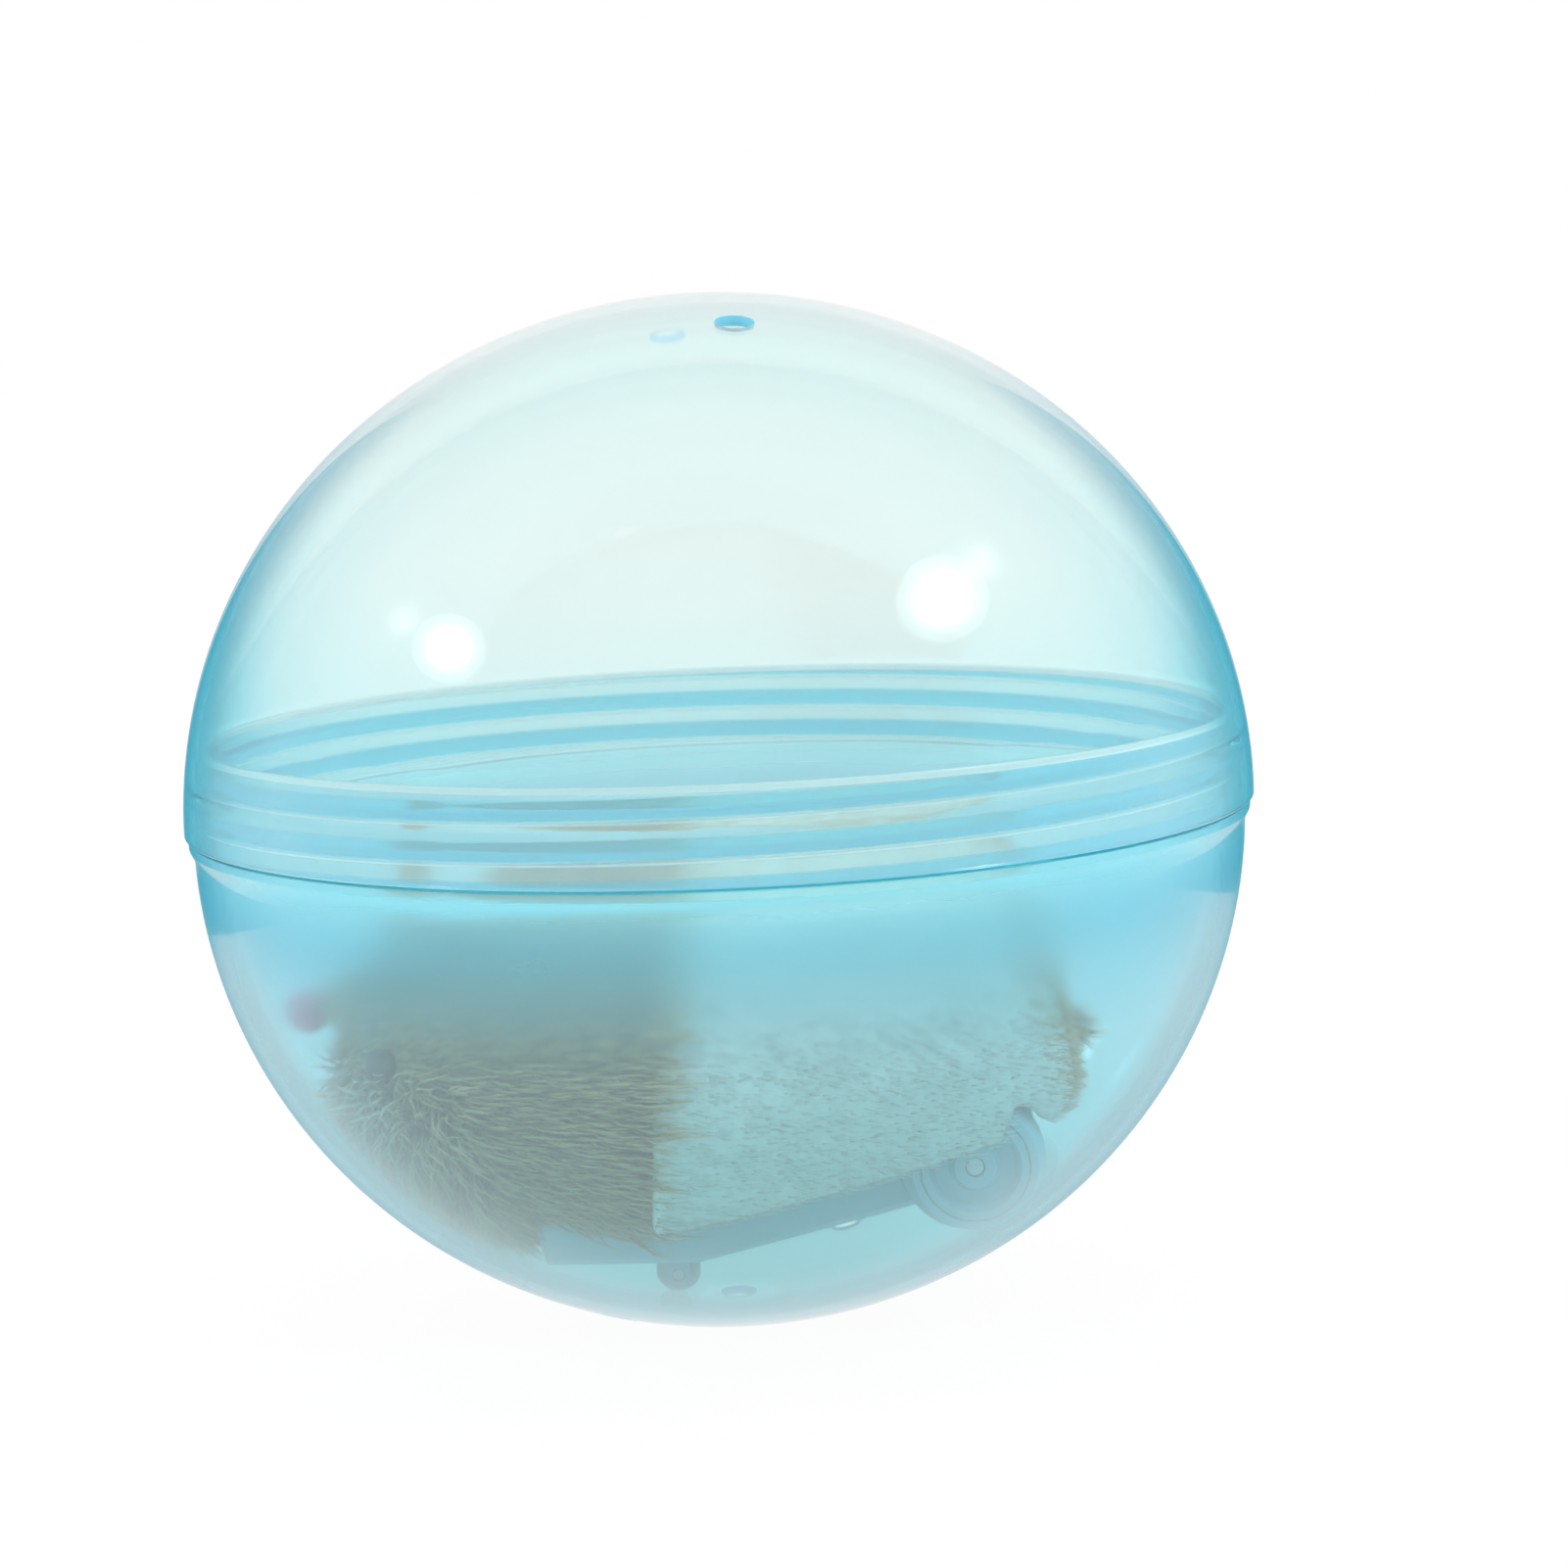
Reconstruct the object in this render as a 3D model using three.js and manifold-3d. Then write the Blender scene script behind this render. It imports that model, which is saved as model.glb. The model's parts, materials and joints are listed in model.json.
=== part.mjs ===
// Motorised hamster in a two-part ball: a screw-top ball with a battery-driven plush hamster inside.
// Millimetres, +Z up along the ball's axis, origin at the ball's centre, hamster's nose towards -X.
import * as THREE from "three";
import { mergeVertices } from "three/addons/utils/BufferGeometryUtils.js";
import Module from "manifold-3d";

const wasm = await Module();
wasm.setup();

// Clearances: between fixed pieces, round turning ones, and between the running wheels and the ball
const seat = 0.3;
const runningFit = 0.12;
const runRoom = 0.4;

// Ball
const ballDiameter = 120;
const shellWall = 1.2;
const lidEdgeZ = 0.6;
const bowlEdgeZ = -0.4;
const rimFlare = 1;
const footRadius = 5;
const flangeProud = 0.6;
const flangeHeight = 1;
const neckStep = 0.8;
const neckTaper = 0.7;
const neckWall = 0.75;
const neckHeight = 10.5;
const threadRoom = 0.65;
const ventRadius = 2.2;
const lidVentPolar = 20;
const lidVentTurn = 11;
const bowlVentPolar = 22;
const bowlVentTurn = -38;

// Hamster's place: it sits nose down, its chassis tilted about the ball's centre
const toyTilt = 13;
const bellyClearance = 9.4;

// Chassis, with heights above the belly and above the split between tray and cover
const chassisWall = 1.2;
const chassisEdge = 0.8;
const frontRoom = 1.4;
const frontRise = 4.3;
const rearRise = 8;
const rearLip = 0.6;
const trayHeight = 12.7;
const coverHeight = 11.3;
const coverFrontHeight = 4.3;
const coverRearHeight = 6.3;
const coverFrontSlope = 21;
const coverRearSlope = 7;
const bossRadius = 3;
const screwHeadRadius = 1.7;
const screwHeadHeight = 1.3;
const screwShankRadius = 0.9;
const screwSeatHeight = 5.5;
const screwBite = 4.8;
const frontScrewInset = 5;
const frontScrewSide = 2.9;
const rearScrewInset = 2.8;
const rearScrewGap = 0.7;

// Battery bay
const cellRadius = 5.8;
const cellThickness = 5.4;
const cellCount = 3;
const cellCapInset = 0.8;
const cellGap = 0.9;
const cellLift = 0.7;
const plateThickness = 0.5;
const plateWidth = 9;
const springRadius = 3.1;
const springTipRadius = 1.7;
const springWire = 0.5;
const springTurns = 3;
const bayGap = 0.64;
const doorScrewGap = 2;
const doorScrewLength = 4.6;
const doorEnd = 1.8;
const doorSideLand = 1.7;
const doorBossRadius = 2.6;
const doorBossCap = 0.5;

// Drive train
const axleX = 17.75;
const axleRadius = 1;
const gearModule = 0.5;
const pinionTeeth = 8;
const largeGearTeeth = 26;
const smallGearTeeth = 10;
const axleGearTeeth = 22;
const axleMeshAngle = 120;
const pinionMeshAngle = 165;
const gearThickness = 1.2;
const gearFaceGap = 0.3;
const gearWallGap = 0.5;
const gearPinRadius = 0.8;
const toothAddendum = 0.35;
const toothDedendum = 0.6;
const toothRootShare = 0.28;
const toothTipShare = 0.09;
const motorFlat = 12;
const motorRadius = 7.75;
const motorLength = 16.4;
const motorRearRoom = 2;
const motorBossRadius = 2.5;
const motorBossLength = 0.6;
const motorShaftRadius = 0.75;
const shaftDepth = 3.5;
const shaftEndGap = 0.6;
const bushRadius = 2;
const bushFlange = 0.6;
const bushFlangeRadius = 3;

// Wheels and front roller
const tyreRadius = 8.47;
const wheelWidth = 4.4;
const wheelRadius = 6.2;
const wheelHubRadius = 2.4;
const wheelDish = 1.2;
const wheelRim = 0.9;
const rollerRadius = 2.65;
const rollerWidth = 4.4;
const rollerSetback = 3.35;
const rollerPinRadius = 0.7;
const rollerEarWall = 1.2;
const rollerEarRadius = 1.6;
const rollerChamfer = 0.5;

// Switch
const switchSetback = 6.65;
const switchLength = 8.5;
const switchWidth = 4;
const switchHeight = 4;
const knobLength = 2.4;
const knobWidth = 1.5;
const knobProud = 1;
const knobTravel = 3;
const knobRidges = 3;

// Leads
const leadRadius = 0.5;

// Plush: the hem and nose stand above the belly, the head's parts hang on the nose's place
const plushGap = 0.6;
const hemHeight = 6;
const seamSetback = 4;
const seamLean = 15.7;
const bodyFrontLap = 10;
const bodyRump = 6.5;
const bodyFrontRise = 16;
const bodyRearRise = 18;
const bodySide = 5;
const bodyHeight = 28;
const bodyBluntness = 3.4;
const noseRadius = 2.85;
const noseRoom = 1.38;
const noseHeight = 38.8;
const headSetback = 2.2;
const headLength = 62;
const headFrontDrop = 8.8;
const headRearRise = 15;
const headHalfWidth = 21;
const headFrontHeight = 18;
const headRearHeight = 30;
const headBluntness = 2.3;
const snoutSetback = 1.7;
const snoutLength = 15.5;
const snoutFrontDrop = 0.4;
const snoutRearDrop = 4.8;
const snoutHalfWidth = 7;
const snoutFrontHeight = 6;
const snoutRearHeight = 7;
const snoutBluntness = 2;
const tailLap = 7;
const tailLength = 10;
const tailDrop = 6.5;
const tailHalfWidth = 4;
const tailFrontHeight = 4;
const tailRearHeight = 3;
const tailBluntness = 1.4;
const eyeRadius = 2.2;
const eyeSetback = 8.7;
const eyeDrop = 6.3;
const earRadius = 5.6;
const earThickness = 1.5;
const earSetback = 14.7;
const earSpread = 10.5;
const earRise = 7;
const earSplay = 28;

// Facets
const ballSegments = 48;
const arcSteps = 12;
const wellSteps = 12;
const roundSides = 20;
const smallSides = 12;
const wheelSides = 24;
const tyreSides = 36;
const crownSteps = 4;
const springSteps = 8;
const wireSides = 8;
const leadSteps = 16;
const stuffedFacets = { rings: 18, sides: 24 };
const snoutFacets = { rings: 10, sides: 16 };
const tailFacets = { rings: 8, sides: 12 };
const weldTolerance = 1e-4;

const degrees = (angle) => THREE.MathUtils.degToRad(angle);

// Ball sizes that follow
const ballRadius = ballDiameter / 2;
const bowlRadius = ballRadius + rimFlare;
const bowlDepth = ballRadius + bowlEdgeZ;
const lidHeight = ballRadius - lidEdgeZ;
const flangeRadius = bowlRadius + flangeProud;
const flangeTopZ = lidEdgeZ - seat;
const neckRootRadius = bowlRadius - neckStep;
const neckTopRadius = neckRootRadius - neckTaper;
const neckTopZ = flangeTopZ + neckHeight;
const lidRadius = neckRootRadius + threadRoom + shellWall;

// The wheels run on a circle inside the ball; a wheel's centre follows from its radius and edge
const runRadius = ballRadius - shellWall - runRoom;
const runAt = (y) => Math.sqrt(runRadius ** 2 - y ** 2);
const rideZ = (x, edgeY, radius) => -Math.sqrt((runAt(edgeY) - radius) ** 2 - x ** 2);

// Across the chassis: the motor and its gears set the width, and the wheels stand outside it
const gearStack = motorBossLength + 2 * seat + 2 * gearThickness + gearFaceGap + gearWallGap;
const wallInnerY = (motorLength + motorRearRoom + gearStack) / 2;
const chassisHalf = wallInnerY + chassisWall;
const motorFrontY = wallInnerY - gearStack;
const largeGearY = motorFrontY + motorBossLength + 2 * seat;
const largeGearEnd = largeGearY + gearThickness;
const axleGearY = largeGearEnd + gearFaceGap;
const axleGearEnd = axleGearY + gearThickness;
const wheelInnerY = chassisHalf + runningFit + bushFlange + seat;
const wheelOuterY = wheelInnerY + wheelWidth;

// Along the chassis, from the axle forwards
const meshDistance = (teethA, teethB) => (gearModule * (teethA + teethB)) / 2;
const axleMesh = meshDistance(axleGearTeeth, smallGearTeeth);
const pinionMesh = meshDistance(largeGearTeeth, pinionTeeth);
const axleZ = rideZ(axleX, wheelInnerY, tyreRadius);
const layX = axleX + axleMesh * Math.cos(degrees(axleMeshAngle));
const layZ = axleZ + axleMesh * Math.sin(degrees(axleMeshAngle));
const motorX = layX + pinionMesh * Math.cos(degrees(pinionMeshAngle));
const motorZ = layZ + pinionMesh * Math.sin(degrees(pinionMeshAngle));
const axleGearTip = (gearModule * axleGearTeeth) / 2 + toothAddendum;
const gearWellRadius = axleGearTip + 2 * seat + chassisWall;
const chassisRearX = axleX + gearWellRadius + rearLip;
const bayWallX = motorX - motorFlat / 2 - bayGap - chassisWall;
const cellX = bayWallX - cellGap - cellRadius;
const doorScrewX = bayWallX + chassisWall + doorScrewGap;
const doorRearX = doorScrewX + doorEnd;
const doorFrontX = cellX - cellRadius;
const doorHalf = wallInnerY - doorSideLand;
const bellyBendX = doorFrontX - chassisWall;
const rollerX = bellyBendX - rollerSetback;
const rollerZ = rideZ(rollerX, rollerWidth / 2, rollerRadius);
const switchX = rollerX - switchSetback;

// Up the chassis, from the belly
const bellyZ = bellyClearance - runRadius;
const chassisFrontZ = bellyZ + frontRise;
const chassisRearZ = bellyZ + rearRise;
const splitZ = bellyZ + trayHeight;
const coverTopZ = splitZ + coverHeight;
const cellZ = bellyZ + chassisWall + cellLift + cellRadius;
const screwSeatZ = bellyZ + screwSeatHeight;
const screwTipZ = splitZ + screwBite;
const doorScrewTipZ = bellyZ + doorScrewLength;
const cornerReach = runRadius - frontRoom;
const chassisFrontX = -Math.sqrt(cornerReach ** 2 - chassisFrontZ ** 2 - chassisHalf ** 2);
const bellySlope = Math.atan2(frontRise, bellyBendX - chassisFrontX);
const floorZ = (x) => bellyZ + Math.max(0, bellyBendX - x) * Math.tan(bellySlope);
const frontScrewY = wallInnerY - frontScrewSide;
const rearScrewY = axleGearY - rearScrewGap - bossRadius;
const screwPlaces = [
  [chassisFrontX + frontScrewInset, frontScrewY],
  [chassisFrontX + frontScrewInset, -frontScrewY],
  [chassisRearX - rearScrewInset, rearScrewY],
  [chassisRearX - rearScrewInset, -rearScrewY],
];

// Plush places and forms
const hemZ = bellyZ + hemHeight;
const seamX = bellyBendX - seamSetback;
const noseZ = bellyZ + noseHeight;
const noseX = -Math.sqrt((runRadius - noseRoom - noseRadius) ** 2 - noseZ ** 2);
const body = {
  frontX: seamX - bodyFrontLap,
  rearX: chassisRearX + bodyRump,
  frontZ: bellyZ + bodyFrontRise,
  rearZ: bellyZ + bodyRearRise,
  halfWidth: wheelOuterY + bodySide,
  frontHeight: bodyHeight,
  rearHeight: bodyHeight,
  bluntness: bodyBluntness,
  facets: stuffedFacets,
};
const head = {
  frontX: noseX + headSetback,
  rearX: noseX + headSetback + headLength,
  frontZ: noseZ - headFrontDrop,
  rearZ: bellyZ + headRearRise,
  halfWidth: headHalfWidth,
  frontHeight: headFrontHeight,
  rearHeight: headRearHeight,
  bluntness: headBluntness,
  facets: stuffedFacets,
};
const snout = {
  frontX: noseX + snoutSetback,
  rearX: noseX + snoutSetback + snoutLength,
  frontZ: noseZ - snoutFrontDrop,
  rearZ: noseZ - snoutRearDrop,
  halfWidth: snoutHalfWidth,
  frontHeight: snoutFrontHeight,
  rearHeight: snoutRearHeight,
  bluntness: snoutBluntness,
  facets: snoutFacets,
};
const tail = {
  frontX: body.rearX - tailLap,
  rearX: body.rearX - tailLap + tailLength,
  frontZ: body.rearZ,
  rearZ: body.rearZ - tailDrop,
  halfWidth: tailHalfWidth,
  frontHeight: tailFrontHeight,
  rearHeight: tailRearHeight,
  bluntness: tailBluntness,
  facets: tailFacets,
};

// Geometry helpers

// Weld a geometry's seams, drop its empty triangles and turn its faces outwards
function closed(geometry) {
  const bare = geometry.clone();
  for (const name of Object.keys(bare.attributes)) {
    if (name !== "position") bare.deleteAttribute(name);
  }
  const welded = mergeVertices(bare, weldTolerance);
  const corner = (i) => new THREE.Vector3().fromBufferAttribute(welded.attributes.position, i);
  const faces = [];
  let volume = 0;
  for (let i = 0; i < welded.index.count; i += 3) {
    const [a, b, c] = [0, 1, 2].map((k) => welded.index.getX(i + k));
    if (a === b || b === c || c === a) continue;
    faces.push([a, b, c]);
    volume += corner(a).dot(corner(b).cross(corner(c)));
  }
  welded.setIndex(faces.flatMap(([a, b, c]) => (volume > 0 ? [a, b, c] : [a, c, b])));
  return welded;
}

function toSolid(geometry) {
  const welded = closed(geometry);
  const vertProperties = new Float32Array(welded.attributes.position.array);
  const triVerts = new Uint32Array(welded.index.array);
  return new wasm.Manifold(new wasm.Mesh({ numProp: 3, vertProperties, triVerts }));
}

function toGeometry(solid) {
  const mesh = solid.getMesh();
  const geometry = new THREE.BufferGeometry();
  const points = new Float32Array(mesh.vertProperties);
  geometry.setAttribute("position", new THREE.BufferAttribute(points, 3));
  geometry.setIndex(Array.from(mesh.triVerts));
  return geometry;
}

function join(...geometries) {
  return toGeometry(geometries.map(toSolid).reduce((whole, next) => whole.add(next)));
}

function cut(base, ...tools) {
  return toGeometry(tools.reduce((left, tool) => left.subtract(toSolid(tool)), toSolid(base)));
}

function common(a, b) {
  return toGeometry(toSolid(a).intersect(toSolid(b)));
}

function box(x0, x1, y0, y1, z0, z1) {
  const geometry = new THREE.BoxGeometry(x1 - x0, y1 - y0, z1 - z0);
  return geometry.translate((x0 + x1) / 2, (y0 + y1) / 2, (z0 + z1) / 2);
}

// A cylinder along Z or along Y between two levels
function postZ(radius, x, y, z0, z1, sides = smallSides) {
  const geometry = new THREE.CylinderGeometry(radius, radius, z1 - z0, sides);
  return geometry.rotateX(Math.PI / 2).translate(x, y, (z0 + z1) / 2);
}

function pinY(radius, x, z, y0, y1, sides = smallSides) {
  const geometry = new THREE.CylinderGeometry(radius, radius, y1 - y0, sides);
  return geometry.translate(x, (y0 + y1) / 2, z);
}

// A side outline in X and Z, pulled across Y, with its two rims chamfered by edge
function acrossY(points, y0, y1, { holes = [], edge = 0 } = {}) {
  const shape = new THREE.Shape(points.map(([x, z]) => new THREE.Vector2(x, z)));
  shape.holes = holes;
  const geometry = new THREE.ExtrudeGeometry(shape, {
    depth: y1 - y0 - 2 * edge,
    bevelEnabled: edge > 0,
    bevelThickness: edge,
    bevelSize: edge,
    bevelOffset: -edge,
    bevelSegments: 1,
  });
  return geometry.rotateX(Math.PI / 2).translate(0, y1 - edge, 0);
}

// Move every edge of a counter-clockwise outline inwards by one distance
function inset(points, distance) {
  const count = points.length;
  const edges = points.map(([x0, z0], i) => {
    const [x1, z1] = points[(i + 1) % count];
    const length = Math.hypot(x1 - x0, z1 - z0);
    const normal = [-(z1 - z0) / length, (x1 - x0) / length];
    return { normal, offset: normal[0] * x0 + normal[1] * z0 + distance };
  });
  return edges.map((edge, i) => {
    const last = edges[(i + count - 1) % count];
    const turn = last.normal[0] * edge.normal[1] - last.normal[1] * edge.normal[0];
    const x = (last.offset * edge.normal[1] - edge.offset * last.normal[1]) / turn;
    const z = (edge.offset * last.normal[0] - last.offset * edge.normal[0]) / turn;
    return [x, z];
  });
}

// Section of a stuffed form at one place along it, from -1 at its front to 1 at its rear
function stuffedSection(form, along) {
  const share = (along + 1) / 2;
  return {
    swell: (1 - Math.abs(along) ** form.bluntness) ** (1 / form.bluntness),
    centreZ: THREE.MathUtils.lerp(form.frontZ, form.rearZ, share),
    halfHeight: THREE.MathUtils.lerp(form.frontHeight, form.rearHeight, share),
  };
}

// A stuffed form that swells from one end to the other; grow adds the same cover all round
function stuffedForm(form, grow = 0) {
  const { rings, sides } = form.facets;
  const halfLength = (form.rearX - form.frontX) / 2 + grow;
  const middleX = (form.rearX + form.frontX) / 2;
  const positions = [];
  const faces = [];
  for (let ring = 0; ring <= rings; ring += 1) {
    const along = -Math.cos((Math.PI * ring) / rings);
    const { swell, centreZ, halfHeight } = stuffedSection(form, along);
    for (let side = 0; side < sides; side += 1) {
      const angle = (2 * Math.PI * side) / sides;
      const y = (form.halfWidth + grow) * swell * Math.sin(angle);
      const z = centreZ + (halfHeight + grow) * swell * Math.cos(angle);
      positions.push(middleX + halfLength * along, y, z);
      const next = (side + 1) % sides;
      if (ring < rings) {
        const [a, b] = [ring * sides + side, ring * sides + next];
        faces.push(a, b, b + sides, a, b + sides, a + sides);
      }
    }
  }
  const geometry = new THREE.BufferGeometry();
  geometry.setAttribute("position", new THREE.Float32BufferAttribute(positions, 3));
  geometry.setIndex(faces);
  return geometry;
}

// A spur gear about a Y axis, with plain tapered teeth
function gear(teeth, y0, y1, boreRadius) {
  const pitch = (gearModule * teeth) / 2;
  const [root, tip] = [pitch - toothDedendum, pitch + toothAddendum];
  const step = (2 * Math.PI) / teeth;
  const flank = [
    [root, -toothRootShare],
    [tip, -toothTipShare],
    [tip, toothTipShare],
    [root, toothRootShare],
  ];
  const points = [];
  for (let tooth = 0; tooth < teeth; tooth += 1) {
    for (const [radius, turn] of flank) {
      const angle = (tooth + turn) * step;
      points.push([radius * Math.cos(angle), radius * Math.sin(angle)]);
    }
  }
  if (boreRadius === 0) return acrossY(points, y0, y1);
  const bore = new THREE.Path().absarc(0, 0, boreRadius, 0, 2 * Math.PI, true);
  const hole = new THREE.Path(bore.getPoints(smallSides / 2).slice(0, -1));
  return acrossY(points, y0, y1, { holes: [hole] });
}

// A ring or disc turned about a Y axis from a closed outline of radius and Y
function turned(outline, x, z, sides = roundSides) {
  const profile = [...outline, outline[0]].map(([radius, y]) => new THREE.Vector2(radius, y));
  return new THREE.LatheGeometry(profile, sides).translate(x, 0, z);
}

// A round wire along a smooth curve through points
function wire(points, radius, steps) {
  const path = new THREE.CatmullRomCurve3(points.map(([x, y, z]) => new THREE.Vector3(x, y, z)));
  const ring = new THREE.Shape().absarc(0, 0, radius, 0, 2 * Math.PI);
  const section = new THREE.Shape(ring.getPoints(wireSides / 2).slice(0, -1));
  return new THREE.ExtrudeGeometry(section, { steps, extrudePath: path, bevelEnabled: false });
}

// Materials and nodes

function finish(color, roughness, metalness = 0) {
  return () => new THREE.MeshStandardMaterial({ color, roughness, metalness });
}

function clearBlue() {
  const hazy = { transparent: true, opacity: 0.5 };
  return new THREE.MeshStandardMaterial({ color: 0x9fdcea, roughness: 0.15, ...hazy });
}

const greyPlastic = finish(0xb9c6cc, 0.5);
const darkPlastic = finish(0x3a4248, 0.5);
const whiteNylon = finish(0xe8e6de, 0.45);
const rubber = finish(0x8f9ba1, 0.85);
const steel = finish(0xb4b6b8, 0.3, 1);
const redInsulation = finish(0xb03028, 0.6);
const blackInsulation = finish(0x202428, 0.6);
const tanFur = finish(0xb08d62, 1);
const whiteFur = finish(0xe9e4d8, 1);
const pinkPlastic = finish(0xe58fb4, 0.35);
const blackBead = finish(0x15120f, 0.15);

const assembly = new THREE.Group();
const toy = new THREE.Group();
toy.rotation.y = -degrees(toyTilt);
assembly.add(toy);

function piece(parent, name, geometry, material) {
  const mesh = new THREE.Mesh(closed(geometry), material());
  mesh.name = name;
  parent.add(mesh);
}

// Ball shells

// Quarter ellipse from the pole side (radius first) out to the equator
function ellipseArc(firstRadius, equatorRadius, semiHeight, edgeZ, upwards) {
  const start = Math.asin(firstRadius / equatorRadius);
  return Array.from({ length: arcSteps + 1 }, (_, i) => {
    const polar = THREE.MathUtils.lerp(start, Math.PI / 2, i / arcSteps);
    const height = semiHeight * Math.cos(polar);
    return [equatorRadius * Math.sin(polar), edgeZ + (upwards ? height : -height)];
  });
}

function ballSolid(outline) {
  const profile = outline.map(([radius, z]) => new THREE.Vector2(radius, z));
  return new THREE.LatheGeometry(profile, ballSegments).rotateX(Math.PI / 2);
}

// Vent drill through one half: along a line that leans from the axis in the direction of turn
function ventDrill(polar, turn, upwards) {
  const reach = 2 * lidRadius;
  const drill = new THREE.CylinderGeometry(ventRadius, ventRadius, reach, roundSides);
  drill.rotateX(Math.PI / 2).translate(0, 0, (upwards ? reach : -reach) / 2);
  return drill.rotateX(upwards ? degrees(polar) : -degrees(polar)).rotateZ(degrees(turn));
}

function bowl() {
  const semiHeight = bowlDepth / Math.sqrt(1 - (footRadius / bowlRadius) ** 2);
  const outer = ellipseArc(footRadius, bowlRadius, semiHeight, bowlEdgeZ, false);
  const inner = ellipseArc(0, bowlRadius - shellWall, bowlDepth - shellWall, bowlEdgeZ, false).reverse();
  const rim = [
    [flangeRadius, flangeTopZ - flangeHeight],
    [flangeRadius, flangeTopZ],
    [neckRootRadius, flangeTopZ],
    [neckTopRadius, neckTopZ],
    [neckTopRadius - neckWall, neckTopZ],
    [neckRootRadius - neckWall, flangeTopZ],
  ];
  const shell = ballSolid([[0, outer[0][1]], ...outer, ...rim, ...inner]);
  const drills = [0, bowlVentPolar, -bowlVentPolar].map((polar) => ventDrill(polar, bowlVentTurn, false));
  return cut(shell, ...drills);
}

function lid() {
  const outer = ellipseArc(0, lidRadius, lidHeight, lidEdgeZ, true);
  const inner = ellipseArc(0, lidRadius - shellWall, lidHeight - shellWall, lidEdgeZ, true).reverse();
  const shell = ballSolid([...outer, ...inner]);
  const drills = [lidVentPolar, -lidVentPolar].map((polar) => ventDrill(polar, lidVentTurn, true));
  return cut(shell, ...drills);
}

piece(assembly, "ball_lower_shell", bowl(), clearBlue);
piece(assembly, "ball_upper_shell", lid(), clearBlue);

// Chassis

// The tray's side: a belly that rises to the front, with a round well under the axle gear
function baseOutline() {
  const wellStart = Math.PI + Math.asin((axleZ - bellyZ) / gearWellRadius);
  const well = Array.from({ length: wellSteps + 1 }, (_, i) => {
    const angle = THREE.MathUtils.lerp(wellStart, 2 * Math.PI, i / wellSteps);
    return [axleX + gearWellRadius * Math.cos(angle), axleZ + gearWellRadius * Math.sin(angle)];
  });
  return [
    [chassisFrontX, splitZ],
    [chassisFrontX, chassisFrontZ],
    [bellyBendX, bellyZ],
    ...well,
    [chassisRearX, chassisRearZ],
    [chassisRearX, splitZ],
  ];
}

function coverOutline() {
  return [
    [chassisFrontX, splitZ + seat],
    [chassisRearX, splitZ + seat],
    [chassisRearX, splitZ + coverRearHeight],
    [chassisRearX - coverRearSlope, coverTopZ],
    [chassisFrontX + coverFrontSlope, coverTopZ],
    [chassisFrontX, splitZ + coverFrontHeight],
  ];
}

// The tray's inside, left open upwards past the split
function baseInside() {
  const inside = inset(baseOutline(), chassisWall);
  const openTop = splitZ + chassisWall;
  const raised = inside.map(([x, z], i) => (i === 0 || i === inside.length - 1 ? [x, openTop] : [x, z]));
  return acrossY(raised, -wallInnerY, wallInnerY);
}

// From the switch's own frame to its place on the sloping belly
function switchFrame(geometry) {
  return geometry.rotateY(bellySlope).translate(switchX, 0, floorZ(switchX));
}

function rollerEar(side) {
  const inner = rollerWidth / 2 + seat;
  const [y0, y1] = side > 0 ? [inner, inner + rollerEarWall] : [-inner - rollerEarWall, -inner];
  const topZ = floorZ(rollerX) + chassisWall / 2;
  const plate = box(rollerX - rollerEarRadius, rollerX + rollerEarRadius, y0, y1, rollerZ, topZ);
  return join(plate, pinY(rollerEarRadius, rollerX, rollerZ, y0, y1));
}

// Two ribs that the motor lies on
function motorCradles(floor) {
  const top = motorZ - motorRadius - seat;
  const [x0, x1] = [doorRearX + 3 * seat, motorX + motorFlat / 2];
  const places = [motorFrontY - motorLength / 4, motorFrontY - motorLength];
  return places.map((y) => box(x0, x1, y, y + chassisWall, floor, top));
}

// What the tray is cut by: the battery door, screws, switch slot and the holes for axle and pins
function trayCuts() {
  const door = box(
    doorFrontX - seat, doorRearX + seat,
    -doorHalf - seat, doorHalf + seat,
    bellyZ - seat, bellyZ + chassisWall + seat);
  const shanks = screwPlaces.map(([x, y]) =>
    postZ(screwShankRadius + seat, x, y, screwSeatZ - seat, splitZ + seat));
  const recesses = screwPlaces.map(([x, y]) =>
    postZ(screwHeadRadius + seat, x, y, axleZ - gearWellRadius - seat, screwSeatZ));
  const doorPilot = postZ(screwShankRadius + runningFit, doorScrewX, 0, bellyZ, doorScrewTipZ + seat);
  const slotLength = knobLength + knobTravel + 2 * seat;
  const slot = switchFrame(new THREE.BoxGeometry(slotLength, knobWidth + 2 * seat, 4 * chassisWall));
  const outside = chassisHalf + seat;
  const axleHole = pinY(bushRadius + runningFit, axleX, axleZ, -outside, outside, roundSides);
  const pinHole = pinY(gearPinRadius + runningFit, layX, layZ, wallInnerY - seat, outside);
  const rollerHole = pinY(rollerPinRadius + runningFit, rollerX, rollerZ, -rollerWidth, rollerWidth);
  return [door, ...shanks, ...recesses, doorPilot, slot, axleHole, pinHole, rollerHole];
}

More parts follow.
